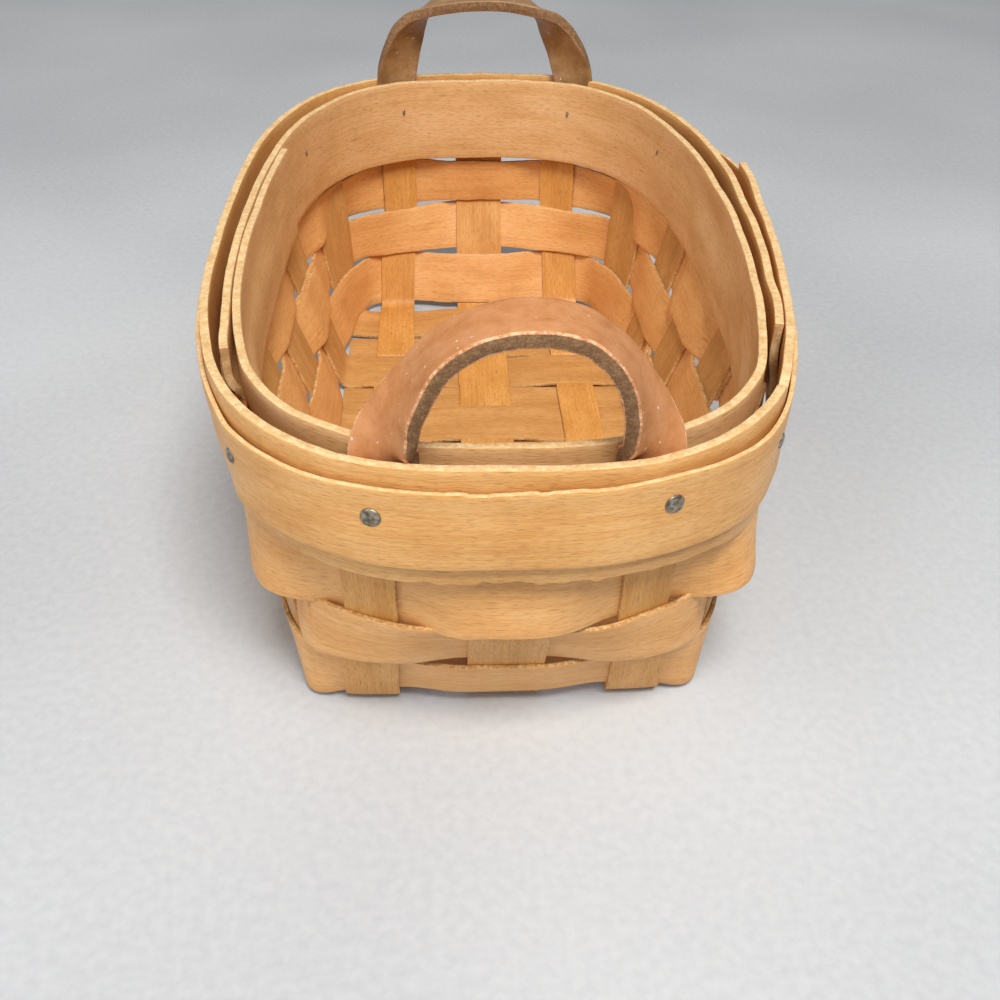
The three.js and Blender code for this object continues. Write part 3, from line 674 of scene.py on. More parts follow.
def weaver_course(first_lane, lap_lanes, outside_even, low_z, high_z, wave):
    """Distances along the lower and the upper edge of a row, and how far it waves out or in."""
    last_lane = first_lane + len(lanes) + lap_lanes - 1

    def offset_at(index):
        outside = (index % 2 == 0) == outside_even
        if outside:
            return wave * (2 if index >= first_lane + len(lanes) else 1)
        return -wave * (2 if index < first_lane + lap_lanes else 1)

    low, high, offsets = [], [], []
    for index in range(first_lane, last_lane + 1):
        half = lanes[index % len(lanes)][2] / 2
        level_part = np.linspace(-half, half, int(2 * half / WEAVER_STATION) + 1)
        low += list(lane_distance(index, low_z) + level_part)
        high += list(lane_distance(index, high_z) + level_part)
        offsets += [offset_at(index)] * len(level_part)
        if index == last_lane:
            break
        next_half = lanes[(index + 1) % len(lanes)][2] / 2
        ends = [
            (lane_distance(index, z) + half, lane_distance(index + 1, z) - next_half)
            for z in (low_z, high_z)
        ]
        t = np.linspace(0, 1, max(4, int((ends[1][1] - ends[1][0]) / WEAVER_STATION) + 1))[1:-1]
        low += list(ends[0][0] + (ends[0][1] - ends[0][0]) * t)
        high += list(ends[1][0] + (ends[1][1] - ends[1][0]) * t)
        offsets += list(offset_at(index) + (offset_at(index + 1) - offset_at(index)) * smooth(t))
    return np.array(low), np.array(high), np.array(offsets)


print("weavers have a station every", WEAVER_STATION, "mm")

# %% The surface of a weaver
WEAVER_LINES = 11
# the two edges move, and the middle fifth of the row stays where it is
EDGE_FADE = 2.5


def weaver_points(course, low_z, high_z, shape):
    """The middle surface of one row, from its first upright to the last one of its lap."""
    low, high, offsets = course
    place = 4 * high / rim_length(high_z)
    bottom = on_wall(low_z, low, offsets + round_rim(shape["low out"], place))
    top = on_wall(high_z, high, offsets + round_rim(shape["high out"], place))
    share = np.linspace(0, 1, WEAVER_LINES)[None, :, None]
    points = bottom[:, None] * (1 - share) + top[:, None] * share
    up = (top - bottom) / np.linalg.norm(top - bottom, axis=1)[:, None]
    near_low = np.clip(1 - EDGE_FADE * share, 0, 1)
    near_high = np.clip(EDGE_FADE * share - (EDGE_FADE - 1), 0, 1)
    drop = round_rim(shape["low edge"], place)[:, None, None] * near_low
    rise = round_rim(shape["high edge"], place)[:, None, None] * near_high
    points = points + up[:, None] * (rise - drop)
    # a crease starts a third of the way up and is deepest at the upper edge
    crease = round_rim(shape["crease"], place)[:, None] * np.clip(1.6 * share[..., 0] - 0.5, 0, 1)
    _, outward, along = outline(round((low_z + high_z) / 2, 1))
    turn = np.mod(place / 4, 1.0) * along[-1]
    out = np.stack([np.interp(turn, along, outward[:, k]) for k in (0, 1)], axis=-1)
    points[:, :, :2] += crease[..., None] * out[:, None]
    return points


print("weavers have", WEAVER_LINES, "lines across")

# %% [markdown]
# ## How each row lies
# At the corners the upper middle row stands off the wall, most at its lower edge, because a flat
# strip can't follow a corner that also leans out. The lower middle row is creased twice at each
# front corner, and the bottom row reaches almost down to the floor at every corner. The rim
# isn't a true oval either: past the front corners the bands are drawn in, and the hidden top
# row goes with them.

# %% Row shapes
level = [(0.0, 0.0), (2.0, 0.0)]
# how far the lower and the upper edge of the upper middle row stand off at a corner
CORNER_SLACK = (5.4, 1.4)
corner_folds = [(0.285, 0.0), (0.3, 0.3), (0.305, -0.7), (0.31, 0.4), (0.322, 0.4)]
corner_folds += [(0.327, -0.7), (0.332, 0.4), (0.345, 0.2), (0.36, 0.0)]
drawn_in = [(0.3, 0.0), (0.42, 0.1), (0.5, -0.75), (0.575, -1.5), (0.65, -0.8), (0.8, 0.0)]
drawn_in += [(3.3, 0.0), (3.45, -1.0), (3.52, -1.2), (3.58, -0.9), (3.64, 0.0)]
weaver_rows = [
    {
        "node": "bottom_weaver",
        "first lane": 5,
        "low edge": [(0, -1.5), (0.15, -1.0), (0.24, 1.2), (0.33, 2.4), (0.42, 1.4), (0.6, 0.8)]
        + [(1.4, 0.8), (1.67, 2.0), (2, 1.7), (2.33, 2.0), (2.6, 0.8), (3.4, 0.8), (3.58, 1.4)]
        + [(3.67, 2.4), (3.76, 1.2), (3.85, -1.0)],
        "high edge": [(0, 0.2), (0.3, 0.6), (1, 0.7), (1.7, 0.5), (2, 0.1), (2.3, 0.5), (3, 0.7)]
        + [(3.7, 0.6)],
        "low out": [(0, 0.0), (0.26, 0.0), (0.33, 0.7), (0.42, 0.0), (3.58, 0.0), (3.67, 0.7)]
        + [(3.74, 0.0)],
        "high out": level,
        "crease": level,
    },
    {
        "node": "lower_middle_weaver",
        "first lane": 12,
        "low edge": [(0, -1.2), (0.1, -1.0), (0.18, 0.0), (0.3, 0.5), (1, 0.7), (1.7, 0.5)]
        + [(2, 0.1), (2.3, 0.5), (3, 0.7), (3.7, 0.5), (3.8, -0.6), (3.88, -1.4)],
        "high edge": [(0, 0.0), (0.1, 0.0), (0.2, 1.1), (0.3, 1.2), (0.45, 0.7), (1, 0.7)]
        + [(1.7, 0.5), (2, 0.0), (2.3, 0.5), (3, 0.7), (3.6, 0.8), (3.7, 0.9), (3.8, 1.5)]
        + [(3.9, 1.8), (3.95, 0.6)],
        "low out": [(0, 0.0), (0.24, 0.0), (0.32, 1.0), (0.4, 0.0), (3.6, 0.0), (3.68, 1.4)]
        + [(3.76, 0.0)],
        "high out": [(0, 0.0), (0.22, 0.0), (0.31, 0.6), (0.4, 0.0), (3.6, 0.0), (3.69, 0.2)]
        + [(3.78, 0.0)],
        "crease": corner_folds + [(4 - at, size) for at, size in corner_folds],
    },
    {
        "node": "upper_middle_weaver",
        "first lane": 4,
        "low edge": [(0, 0.0), (0.15, 0.2), (0.22, 1.3), (0.29, 1.5), (0.4, 0.5), (1, 0.7)]
        + [(1.7, 0.5), (2, 0.0), (2.3, 0.5), (3, 0.7), (3.6, 0.5), (3.7, 1.0), (3.76, 1.4)]
        + [(3.84, 0.6)],
        "high edge": [(0.36, 0.0), (0.42, 1.5), (0.52, 1.5), (0.58, 0.0), (3.6, 0.0)],
        "low out": [(0, 0.0), (0.24, 0.0), (0.36, CORNER_SLACK[0]), (0.5, 0.6), (0.6, 0.0)]
        + [(1.5, 0.0), (1.64, 4.0), (1.78, 0.0), (2.22, 0.0), (2.36, 4.0), (2.5, 0.0)]
        + [(3.4, 0.0), (3.5, 0.6), (3.63, CORNER_SLACK[0] - 1.2), (3.75, 0.0)],
        "high out": [(0, 0.0), (0.24, 0.0), (0.36, CORNER_SLACK[1]), (0.5, 1.2), (0.6, 0.0)]
        + [(1.5, 0.0), (1.64, 0.8), (1.78, 0.0), (2.22, 0.0), (2.36, 0.8), (2.5, 0.0)]
        + [(3.4, 0.0), (3.5, 0.4), (3.63, CORNER_SLACK[1]), (3.75, 0.0)],
        "crease": level,
    },
    {
        "node": "top_weaver",
        "first lane": 13,
        "low edge": level,
        "high edge": level,
        "low out": drawn_in,
        "high out": drawn_in,
        "crease": level,
    },
]
print("the rim is drawn in by up to", -min(size for _, size in drawn_in), "mm")

# %% [markdown]
# ## The four weavers
# Neighbouring rows take turns too: where one passes outside an upright, the next passes inside.
# The open rows lie tight against the uprights. The top row has to fill the space between the
# two rim bands, so it waves further in and out, and its two ends only meet.

# %% Weavers
WEAVER_WANDER = 0.16
OPEN_ROW_LAP = 2
TOP_ROW_WAVE = 1.3
weaver_finish = [weaver_maple, splint_edge]
for row, shape in enumerate(weaver_rows):
    low_z = FIRST_ROW_Z + row * row_pitch
    if row < OPEN_ROWS:
        high_z, lap, wave = low_z + row_width, OPEN_ROW_LAP, SPLINT_THICKNESS + WEAVE_CLEARANCE
    else:
        high_z, lap, wave = low_z + TOP_ROW_WIDTH, 0, TOP_ROW_WAVE
    course = weaver_course(shape["first lane"], lap, row % 2 == 0, low_z, high_z, wave)
    points = uneven(weaver_points(course, low_z, high_z, shape), WEAVER_WANDER, 400 + row)
    node = shape["node"]
    strip("veneer_" + node, node, points, SPLINT_THICKNESS, weaver_finish, 40 + row)
    print(node, len(points), "stations, z", round(low_z, 1), "to", round(high_z, 1))

# %% [markdown]
# ## The rim bands
# Two thick bands hold the top row between them, and the trim covers the middle of the outer
# one. Each is a hoop that laps over itself: the outer band's lap is on the right side, the inner
# band's on the left. Below, the bands are held by the row between them. Above it nothing fills
# the joint, so their top edges lean in and out. Each band therefore has one curve for its lower
# half and one for its top edge, and the height in between blends from one to the other.

# %% Band helpers
BAND_STATION = 0.9
BAND_LINES = 15
HELD_BELOW, FREE_ABOVE = 54.5, 62.5
quarter = rim_length() / 4


def stand_off(band, place, z):
    """How far the middle of a band stands off the rim line at a place and a height."""
    free = smooth((z - HELD_BELOW) / (FREE_ABOVE - HELD_BELOW))
    return through(band["low offset"], place) * (1 - free) + through(band["top offset"], place) * free


def band_points(band):
    """The middle surface of a hoop that runs from one place to another."""
    start, stop = band["run"]
    width = band["size"][0]
    place = np.linspace(start, stop, int(abs(stop - start) * quarter / BAND_STATION))
    high = band["top z"] + through(band["high edge"], place)
    low = band["top z"] - width - through(band["low edge"], place)
    share = np.linspace(0, 1, BAND_LINES)
    z = low[:, None] * (1 - share) + high[:, None] * share
    offset = stand_off(band, place[:, None], z)
    lines = [on_wall(RIM_HEIGHT, place * quarter, offset[:, k]) for k in range(BAND_LINES)]
    points = np.stack(lines, axis=1)
    points[:, :, 2] = z
    return points


print("a quarter of the rim is", round(quarter, 1), "mm")

# %% [markdown]
# ## Rough ends and torn edges
# The knife left the ends of the bands uneven, and a few fibres are torn out along two of the
# edges. Both are made by moving points of the flat grid, so the wood keeps its thickness there.

# %% Rough ends and torn edges
def ragged(points, size, seed, ends):
    """Each line of a cut end stops a little earlier or later."""
    local = np.random.default_rng(seed)
    for end in ends:
        inner = -2 if end == -1 else 1
        direction = points[end] - points[inner]
        direction /= np.linalg.norm(direction, axis=1)[:, None]
        points[end] += direction * local.uniform(-size, size, points.shape[1])[:, None]
    return points


def tear(points, run, torn, seed):
    """Between two places the first or the last line of a band goes up and down by a little."""
    line, first, last, size = torn
    share = (np.array([first, last]) - run[0]) / (run[1] - run[0])
    begin, end = np.sort(np.clip(share, 0, 1) * (len(points) - 1)).astype(int)
    local = np.random.default_rng(seed)
    steps = np.repeat(local.uniform(-size, size, (end - begin) // 2 + 1), 2)[: end - begin]
    points[begin:end, line, 2] += steps * np.sin(np.linspace(0, math.pi, end - begin)) ** 0.5
    return points


print("rough ends and torn edges can be added")

# %% [markdown]
# ## The curves of the three bands
# A band runs from one place to another, and its places count on past 4, or down past 0, where
# it goes through the front. The offsets are measured outwards from the rim line, so those of the
# inner band are below zero. The edges rise or drop by about a millimetre at most. An entry for a
# torn edge holds the line (0 the lower, -1 the upper), the two places and the size.

# %% The three bands
inner_band = {
    "node": "inner_band",
    "run": (3.482, -1.296),
    "size": INNER_BAND,
    "top z": RIM_HEIGHT,
    "low offset": [(3.482, -4.1), (3.42, -3.8), (3.3, -3.0), (0.8, -3.0), (0.65, -3.8)]
    + [(0.575, -4.6), (0.5, -4.1), (0.42, -3.3), (0.3, -3.0), (-0.36, -3.0), (-0.42, -3.9)]
    + [(-0.46, -4.4), (-0.51, -5.8), (-0.56, -5.7), (-0.7, -4.7), (-1.296, -4.7)],
    "top offset": [(3.482, 0.0), (3.46, -0.2), (3.41, -1.0), (3.34, -1.5), (3.05, -1.5)]
    + [(2.9, -1.8), (2.72, -2.3), (2.5, -2.9), (2.0, -3.05), (1.5, -2.6), (1.2, -1.8)]
    + [(1.03, -1.4), (0.94, -1.6), (0.82, -2.4), (0.71, -3.0), (0.58, -3.0), (0.52, -2.65)]
    + [(0.43, -1.7), (0.35, -1.9), (0.25, -2.6), (0.1, -3.0), (-0.2, -3.05), (-0.35, -2.5)]
    + [(-0.45, -2.4), (-0.53, -3.0), (-0.6, -3.3), (-0.95, -3.35), (-1.1, -3.75)]
    + [(-1.28, -4.2)],
    "low edge": level,
    "high edge": level,
    "ragged": (0,),
    "torn": [],
}
outer_band = {
    "node": "outer_band",
    "run": (0.575, 5.21),
    "size": OUTER_BAND,
    "top z": RIM_HEIGHT,
    "low offset": [(0.575, 1.4), (0.592, 1.8), (0.65, 2.7), (0.75, 3.1), (3.25, 3.1)]
    + [(3.33, 2.6), (3.45, 2.1), (3.526, 1.9), (3.574, 2.2), (3.62, 3.2), (3.7, 3.1)]
    + [(3.85, 3.5), (4.1, 3.5), (4.24, 3.2), (4.3, 3.6), (4.34, 3.6), (4.38, 3.2)]
    + [(4.434, 2.7), (4.507, 2.0)]
    + [(4.534, 2.2), (4.562, 2.75), (4.592, 3.65), (4.65, 4.6), (4.72, 5.0), (5.21, 5.0)],
    "top offset": [(0.575, 0.3), (0.65, 0.45), (0.715, 0.15), (0.82, 1.15), (0.94, 2.2)]
    + [(1.03, 2.55), (1.12, 3.2), (1.22, 3.5), (1.5, 3.1), (2.8, 3.0), (3.05, 2.85)]
    + [(3.17, 2.55), (3.3, 2.65), (3.45, 2.7), (3.5, 3.0), (3.6, 3.2), (3.7, 3.1), (4.39, 3.1)]
    + [(4.42, 2.95), (4.45, 2.6), (4.5, 2.15), (4.59, 2.3), (4.65, 2.5), (4.72, 2.85)]
    + [(4.82, 4.0), (4.94, 5.3), (5.03, 6.3), (5.12, 7.4), (5.21, 8.1)],
    "low edge": [(4.2, 0.0), (4.26, 0.2), (4.32, 0.9), (4.4, 0.0)],
    "high edge": [(4.405, 0.0), (4.415, -1.2), (4.43, -0.3), (4.44, 0.0)],
    "ragged": (0, -1),
    "torn": [(0, 3.84, 4.24, 0.5)],
}
trim_band = {
    "node": "trim_band",
    "run": (2.347, 6.642),
    "size": TRIM_BAND,
    "top z": RIM_HEIGHT - TRIM_BELOW_RIM,
    "low offset": [(2.347, 4.7), (3.2, 4.6), (3.33, 4.1), (3.448, 3.5), (3.526, 3.25)]
    + [(3.574, 3.6), (3.62, 4.8), (3.7, 5.1), (3.85, 5.5), (4.1, 5.5), (4.22, 5.2)]
    + [(4.3, 5.3), (4.34, 5.2)]
    + [(4.38, 4.6), (4.434, 4.1), (4.507, 3.4), (4.534, 3.6), (4.562, 4.15), (4.592, 5.05)]
    + [(4.65, 6.0), (4.72, 6.4), (5.22, 6.4), (5.35, 5.4), (5.45, 4.8), (6.25, 4.7)]
    + [(6.36, 5.75), (6.642, 5.75)],
    "top offset": [(2.347, 4.9), (2.6, 4.8), (2.87, 4.5), (3.05, 4.3), (3.17, 4.05)]
    + [(3.3, 4.1), (3.45, 4.15), (3.52, 4.45), (3.57, 4.7), (3.62, 5.1), (3.8, 5.0), (4.2, 5.1)]
    + [(4.336, 5.25), (4.36, 5.1), (4.386, 4.85), (4.41, 4.6), (4.46, 4.05), (4.5, 3.75)]
    + [(4.59, 3.8), (4.65, 3.95), (4.72, 4.4), (4.82, 5.5), (4.94, 6.8), (5.03, 7.8)]
    + [(5.12, 8.9), (5.21, 9.5), (5.27, 8.6), (5.4, 6.0), (5.55, 4.9), (6.25, 4.9)]
    + [(6.36, 5.95), (6.642, 5.95)],
    "low edge": [(3.5, 0.2), (3.64, 0.9), (3.7, 0.5), (4.0, 0.0), (4.2, -0.1), (4.33, 0.6)]
    + [(4.45, 0.2)],
    "high edge": [(3.52, 0.0), (3.62, -1.1), (3.7, -0.6), (3.8, 0.0), (4.0, -0.2), (4.1, 0.2)]
    + [(4.2, 0.9), (4.26, 0.5), (4.31, -0.2), (4.45, 0.0)],
    "ragged": (0, -1),
    "torn": [(-1, 3.92, 4.14, 0.3)],
}
for band in (inner_band, outer_band, trim_band):
    print(band["node"], "has", len(band["top offset"]), "stops along its top edge")

# %% [markdown]
# ## Bending the bands
# Each band is now a strip like the others, only thicker and with a wider bevel, because its
# sawn edges were rubbed smooth. The inner band shows its other face, which is a little greyer.

# %% Bands
BAND_WANDER = 0.14
BAND_BEVEL = 0.2
END_ROUGHNESS = 0.5
for seed, band in enumerate([inner_band, outer_band, trim_band]):
    points = uneven(band_points(band), BAND_WANDER, 500 + seed)
    points = ragged(points, END_ROUGHNESS, 520 + seed, band["ragged"])
    for torn in band["torn"]:
        points = tear(points, band["run"], torn, 540 + seed)
    node = band["node"]
    finish = [inner_maple if node == "inner_band" else band_maple, band_edge]
    thickness = band["size"][1]
    strip("veneer_" + node, node, points, thickness, finish, 50 + seed, BAND_BEVEL)
    print(node, round(abs(band["run"][1] - band["run"][0]) * quarter), "mm long")

# %% [markdown]
# ## Leather for the ears
# Vegetable-tanned leather has a smooth grain side, waxed to a soft shine, with fine pores and
# small pale scuffs. Its cut edge is raw: matt, grey-brown and fibrous. On the front ear the
# corner between the two is painted pale, a painted highlight that draws a thin light line
# along the strap. The back ear is darker all over.

# %% Leather materials
def leather(name, deep, main, worn, rough_low, rough_high):
    made, tree = new_material(name)
    uv = add_node(tree, "ShaderNodeUVMap", uv_map="grain").outputs["UV"]
    # pores: cells 0.5 mm wide
    pores = add_node(
        tree,
        "ShaderNodeTexVoronoi",
        {"Vector": uv, "Scale": 2000.0, "Randomness": 1.0},
        feature="DISTANCE_TO_EDGE",
    ).outputs["Distance"]
    # mottle: patches of 5 to 10 mm where the dye went in more or less
    mottle = add_node(
        tree, "ShaderNodeTexNoise", {"Vector": uv, "Scale": 210.0, "Detail": 8.0, "Roughness": 0.72}
    ).outputs["Fac"]
    # creases across the strap, a millimetre apart
    crease_at = add_node(tree, "ShaderNodeMapping", {"Vector": uv, "Scale": (900, 250, 1)})
    creases = add_node(
        tree, "ShaderNodeTexNoise", {"Vector": crease_at.outputs[0], "Scale": 1.0, "Detail": 3.0}
    ).outputs["Fac"]
    # scuffs: rare pale specks of half a millimetre
    scuffs = add_node(
        tree, "ShaderNodeTexNoise", {"Vector": uv, "Scale": 900.0, "Detail": 1.0}
    ).outputs["Fac"]
    hide = add_node(
        tree,
        "ShaderNodeValToRGB",
        {"Fac": mottle},
        stops=[(0.34, colour(deep)), (0.5, colour(main)), (0.66, colour(worn))],
    ).outputs["Color"]
    pale = add_node(
        tree, "ShaderNodeValToRGB", {"Fac": scuffs}, stops=[(0.73, grey(0.0)), (0.77, grey(0.8))]
    ).outputs["Color"]
    hide = add_node(
        tree,
        "ShaderNodeMix",
        {"Factor": pale, "A": hide, "B": colour("#f0dcc4")},
        data_type="RGBA",
    ).outputs["Result"]
    rough = add_node(
        tree,
        "ShaderNodeValToRGB",
        {"Fac": mottle},
        stops=[(0.35, grey(rough_low)), (0.65, grey(rough_high))],
    ).outputs["Color"]
    height = add_node(
        tree, "ShaderNodeMath", {0: creases, 1: 0.5, 2: pores}, operation="MULTIPLY_ADD"
    ).outputs[0]
    bump = add_node(
        tree, "ShaderNodeBump", {"Height": height, "Strength": 0.3, "Distance": 0.00012}
    ).outputs["Normal"]
    shader = add_node(
        tree,
        "ShaderNodeBsdfPrincipled",
        {"Base Color": hide, "Roughness": rough, "Normal": bump, "IOR": 1.48},
    )
    add_node(tree, "ShaderNodeOutputMaterial", {"Surface": shader.outputs[0]})
    return made


front_grain = leather("waxed saddle leather, grain side", "#aa6a36", "#b97c4a", "#c2885b", 0.5, 0.64)
back_grain = leather("waxed dark leather, grain side", "#805b34", "#936d43", "#a17f57", 0.4, 0.55)
raw_edge = cut_edge("raw cut edge of leather", "#6b4a2c", "#7d5937", "#92704b", fineness=2.0)
# the pale corner material below is a painted highlight along the edge of the front strap
highlight_painted_corner = cut_edge("leather corner with painted highlight", "#a8693f", "#c98c60", "#e2b58c")
print("two kinds of leather, a raw edge and a corner with a painted highlight")

# %% [markdown]
# ## The ears
# A strap 11 mm wide stands with both feet between the bands. There it lies flat against them.
# Above the rim it twists on its way up, and it lies grain side up over the arch, so from the
# front one sees its raw edge. The strap is a strip again. Its middle line runs through a few
# listed points, and the direction across it is turned by an angle that depends on the height.

# %% Ear helpers
STRAP_WIDTH, STRAP_THICKNESS = 11.0, 2.8
STRAP_BEVEL = 0.35
STRAP_STATIONS, STRAP_LINES = 130, 11
CURVE_POINTS, SMOOTHING_ROUNDS = 600, 60
# the feet end just above the uprights
FOOT_LOW_Z = upright_top_z + 0.4


def unit(vector):
    return vector / np.linalg.norm(vector)


def curve_points(stops, count):
    """Evenly spaced points of a smooth curve through the stops."""
    stops = np.array(stops, dtype=float)
    reach = np.concatenate([[0], np.cumsum(np.linalg.norm(np.diff(stops, axis=0), axis=1))])
    fine = np.linspace(0, reach[-1], CURVE_POINTS)
    line = np.stack([through(list(zip(reach, stops[:, k])), fine) for k in range(3)], axis=1)
    for _ in range(SMOOTHING_ROUNDS):
        line[1:-1] = (line[:-2] + line[1:-1] + line[2:]) / 3
    run = np.concatenate([[0], np.cumsum(np.linalg.norm(np.diff(line, axis=0), axis=1))])
    even = np.linspace(0, run[-1], count)
    return np.stack([np.interp(even, run, line[:, k]) for k in range(3)], axis=1)


def ear_points(arch, twist, front_goes_out):
    """Arch: stops (x, y, z). Twist: stops (height, degrees from straight across)."""
    left_foot = (*arch[0][:2], FOOT_LOW_Z)
    right_foot = (*arch[-1][:2], FOOT_LOW_Z)
    centre = curve_points([left_foot, *arch, right_foot], STRAP_STATIONS)
    tangents = np.gradient(centre, axis=0)
    top = int(np.argmax(centre[:, 2]))
    across_places = np.linspace(-STRAP_WIDTH / 2, STRAP_WIDTH / 2, STRAP_LINES)
    rows = []
    for i, (place, tangent) in enumerate(zip(centre, tangents)):
        # the strap turns one way on its left flank and the other way on its right flank
        side = -1 if (i < top) != front_goes_out else 1
        turn = math.radians(float(through(twist, place[2])))
        across = np.array([side * math.sin(turn), math.cos(turn), 0.0])
        tangent = unit(tangent)
        across = unit(across - tangent * across.dot(tangent))
        rows.append(place + across_places[:, None] * across)
    return np.array(rows)


print("the feet of the ears end", round(FOOT_LOW_Z, 1), "mm above the floor")

# %% [markdown]
# ## The two arches
# The points are chosen from the photograph. The front arch leans a little to the right,
# as a strap does that has been pushed aside, and the back one is squarer. The twist goes from
# 90 degrees at the feet, flat against the bands, to 0 at the top.

# %% Ears
front_arch = [
    (-20.3, -93.6, 68.6),
    (-17.9, -93.4, 75.2),
    (-14.8, -93.2, 80.2),
    (-12.2, -93.1, 84.0),
    (-8.9, -93.0, 86.8),
    (-4.5, -93.0, 89.1),
    (0.5, -93.0, 90.2),
    (5.5, -93.0, 90.1),
    (10.5, -93.0, 88.6),
    (14.9, -93.1, 85.1),
    (17.7, -93.2, 81.2),
    (20.3, -93.4, 75.3),
    (22.0, -93.4, 68.6),
]
front_twist = [(54, 90), (62, 89), (66, 84), (68.6, 70), (71, 52), (76, 30), (80, 18), (85, 8), (90, 0)]
back_arch = [
    (-24.0, 93.4, 68.6),
    (-23.2, 93.4, 73.0),
    (-21.9, 93.4, 77.3),
    (-20.0, 93.4, 82.0),
    (-17.2, 93.4, 85.8),
    (-12.6, 93.4, 88.4),
    (-5.0, 93.4, 89.7),
    (3.0, 93.4, 90.0),
    (9.0, 93.4, 89.6),
    (14.6, 93.4, 88.2),
    (19.6, 93.4, 85.2),
    (22.7, 93.4, 81.0),
    (25.2, 93.4, 76.5),
    (27.0, 93.4, 71.5),
    (27.8, 93.0, 68.6),
]
back_twist = [(54, 90), (68.6, 86), (77, 60), (82, 48), (86, 30), (90, 0)]
ears = [
    ("front_ear", ear_points(front_arch, front_twist, False), front_grain),
    ("back_ear", ear_points(back_arch, back_twist, True), back_grain),
]
for seed, (node, points, grain_material) in enumerate(ears):
    # the front ear's corner gets the pale painted highlight, and the back ear's corner keeps its grain
    corner_finish = highlight_painted_corner if node == "front_ear" else back_grain
    strip(
        "strap_" + node,
        node,
        points,
        STRAP_THICKNESS,
        [grain_material, raw_edge, corner_finish],
        60 + seed,
        bevel=STRAP_BEVEL,
        corner=2,
    )
print("two ears, the front one", round(float(ears[0][1][..., 2].max()), 1), "mm high")

# %% [markdown]
# ## Tacks
# Small tacks with low, nearly flat heads hold every layer together. The point comes out inside
# and is bent over, clinched, against the inner band. Dull steel with a brown film of age is a
# metal with high roughness, and not an even grey. A tack is a profile spun round its axis, made
# upright and then laid into the rim.

# %% Tack material
def aged_steel(name):
    made, tree = new_material(name)
    place = add_node(tree, "ShaderNodeTexCoord").outputs["Object"]
    # the film of age: patches of about a millimetre
    film = add_node(
        tree, "ShaderNodeTexNoise", {"Vector": place, "Scale": 1100.0, "Detail": 3.0}
    ).outputs["Fac"]
    tint = add_node(
        tree,
        "ShaderNodeValToRGB",
        {"Fac": film},
        stops=[(0.35, colour("#6a5f52")), (0.65, colour("#aba391"))],
    ).outputs["Color"]
    rough = add_node(
        tree, "ShaderNodeValToRGB", {"Fac": film}, stops=[(0.35, grey(0.6)), (0.65, grey(0.42))]
    ).outputs["Color"]
    bump = add_node(
        tree, "ShaderNodeBump", {"Height": film, "Strength": 0.3, "Distance": 0.0001}
    ).outputs["Normal"]
    shader = add_node(
        tree,
        "ShaderNodeBsdfPrincipled",
        {"Base Color": tint, "Metallic": 0.85, "Roughness": rough, "Normal": bump},
    )
    add_node(tree, "ShaderNodeOutputMaterial", {"Surface": shader.outputs[0]})
    return made


tack_steel = aged_steel("aged tack steel")
print("tack steel ready")

# %% Shape of a tack
SHANK_RADIUS = 0.5
CLINCH_HEIGHT = 0.35
TURN_STEPS = 28


def turned_tack(radius, length):
    """A tack that points down from z = 0, where its head lies, with its point bent over."""
    # the profile's points are (radius, height), from the top of the head to the point
    profile = [(0, 0.42), (0.5 * radius, 0.4), (0.8 * radius, 0.33), (0.95 * radius, 0.22)]
    profile += [(radius, 0.08), (0.98 * radius, -0.1), (SHANK_RADIUS, -0.2)]
    profile += [(SHANK_RADIUS, -length), (0.36, -length - 0.2), (0.24, -length - 0.6)]
    profile += [(0.0, -length - 1.0)]
    turned = bmesh.new()
    verts = [turned.verts.new((r * MM, 0, h * MM)) for r, h in profile]
    edges = [turned.edges.new(pair) for pair in zip(verts, verts[1:])]
    bmesh.ops.spin(
        turned,
        geom=verts + edges,
        cent=(0, 0, 0),
        axis=(0, 0, 1),
        angle=2 * math.pi,
        steps=TURN_STEPS,
        use_merge=True,
    )
    bmesh.ops.remove_doubles(turned, verts=turned.verts, dist=0.00001)
    bmesh.ops.recalc_face_normals(turned, faces=turned.faces)
    # clinch: what sticks out inside is bent down flat against the band
    for vert in turned.verts:
        beyond = -vert.co.z / MM - length
        if beyond > 0:
            vert.co.z = (-length - min(beyond, CLINCH_HEIGHT)) * MM
            vert.co.x += beyond * MM
    for face in turned.faces:
        face.smooth = True
    return turned


print("a tack is turned in", TURN_STEPS, "steps")

# %% [markdown]
# ## Placing the tacks
# A tack is as long as the stack that it goes through, from the trim's outer face to the inner
# band's inner face. Where a band laps over itself, the outermost or innermost layer counts. The
# tack's own upward axis is turned to point straight out of the rim.

# %% Tacks
EAR_HEAD, CORNER_HEAD = 1.75, 1.45


def band_layers(band, place, z):
    """How far each layer of a band stands off the rim line at a place and a height."""
    low, high = sorted(band["run"])
    turns = [turn for turn in (-8, -4, 0, 4) if low <= place + turn <= high]
    return [float(stand_off(band, place + turn, z)) for turn in turns]


def tack(node, distance, height, radius):
    on_rim, further = on_wall(RIM_HEIGHT, np.array([distance, distance]), np.array([0.0, 1.0]))
    place = distance / quarter % 4
    head_face = max(band_layers(trim_band, place, height)) + TRIM_BAND[1] / 2
    inner_face = min(band_layers(inner_band, place, height)) - INNER_BAND[1] / 2
    turned = turned_tack(radius, head_face - inner_face)
    axis_z = Vector(unit(further - on_rim))
    axis_x = Vector((0, 0, -1))
    axis_y = axis_z.cross(axis_x)
    seat = Vector(on_rim) + axis_z * head_face
    seat.z = height
    turn = Matrix((axis_x, axis_y, axis_z)).transposed().to_4x4()
    turned.transform(Matrix.Translation(seat * MM) @ turn)
    mesh = bpy.data.meshes.new("steel_" + node)
    turned.to_mesh(mesh)
    turned.free()
    mesh.materials.append(tack_steel)
    piece = bpy.data.objects.new("steel_" + node, mesh)
    bpy.context.scene.collection.objects.link(piece)
    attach(piece, "root")
    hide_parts(node)
    return piece


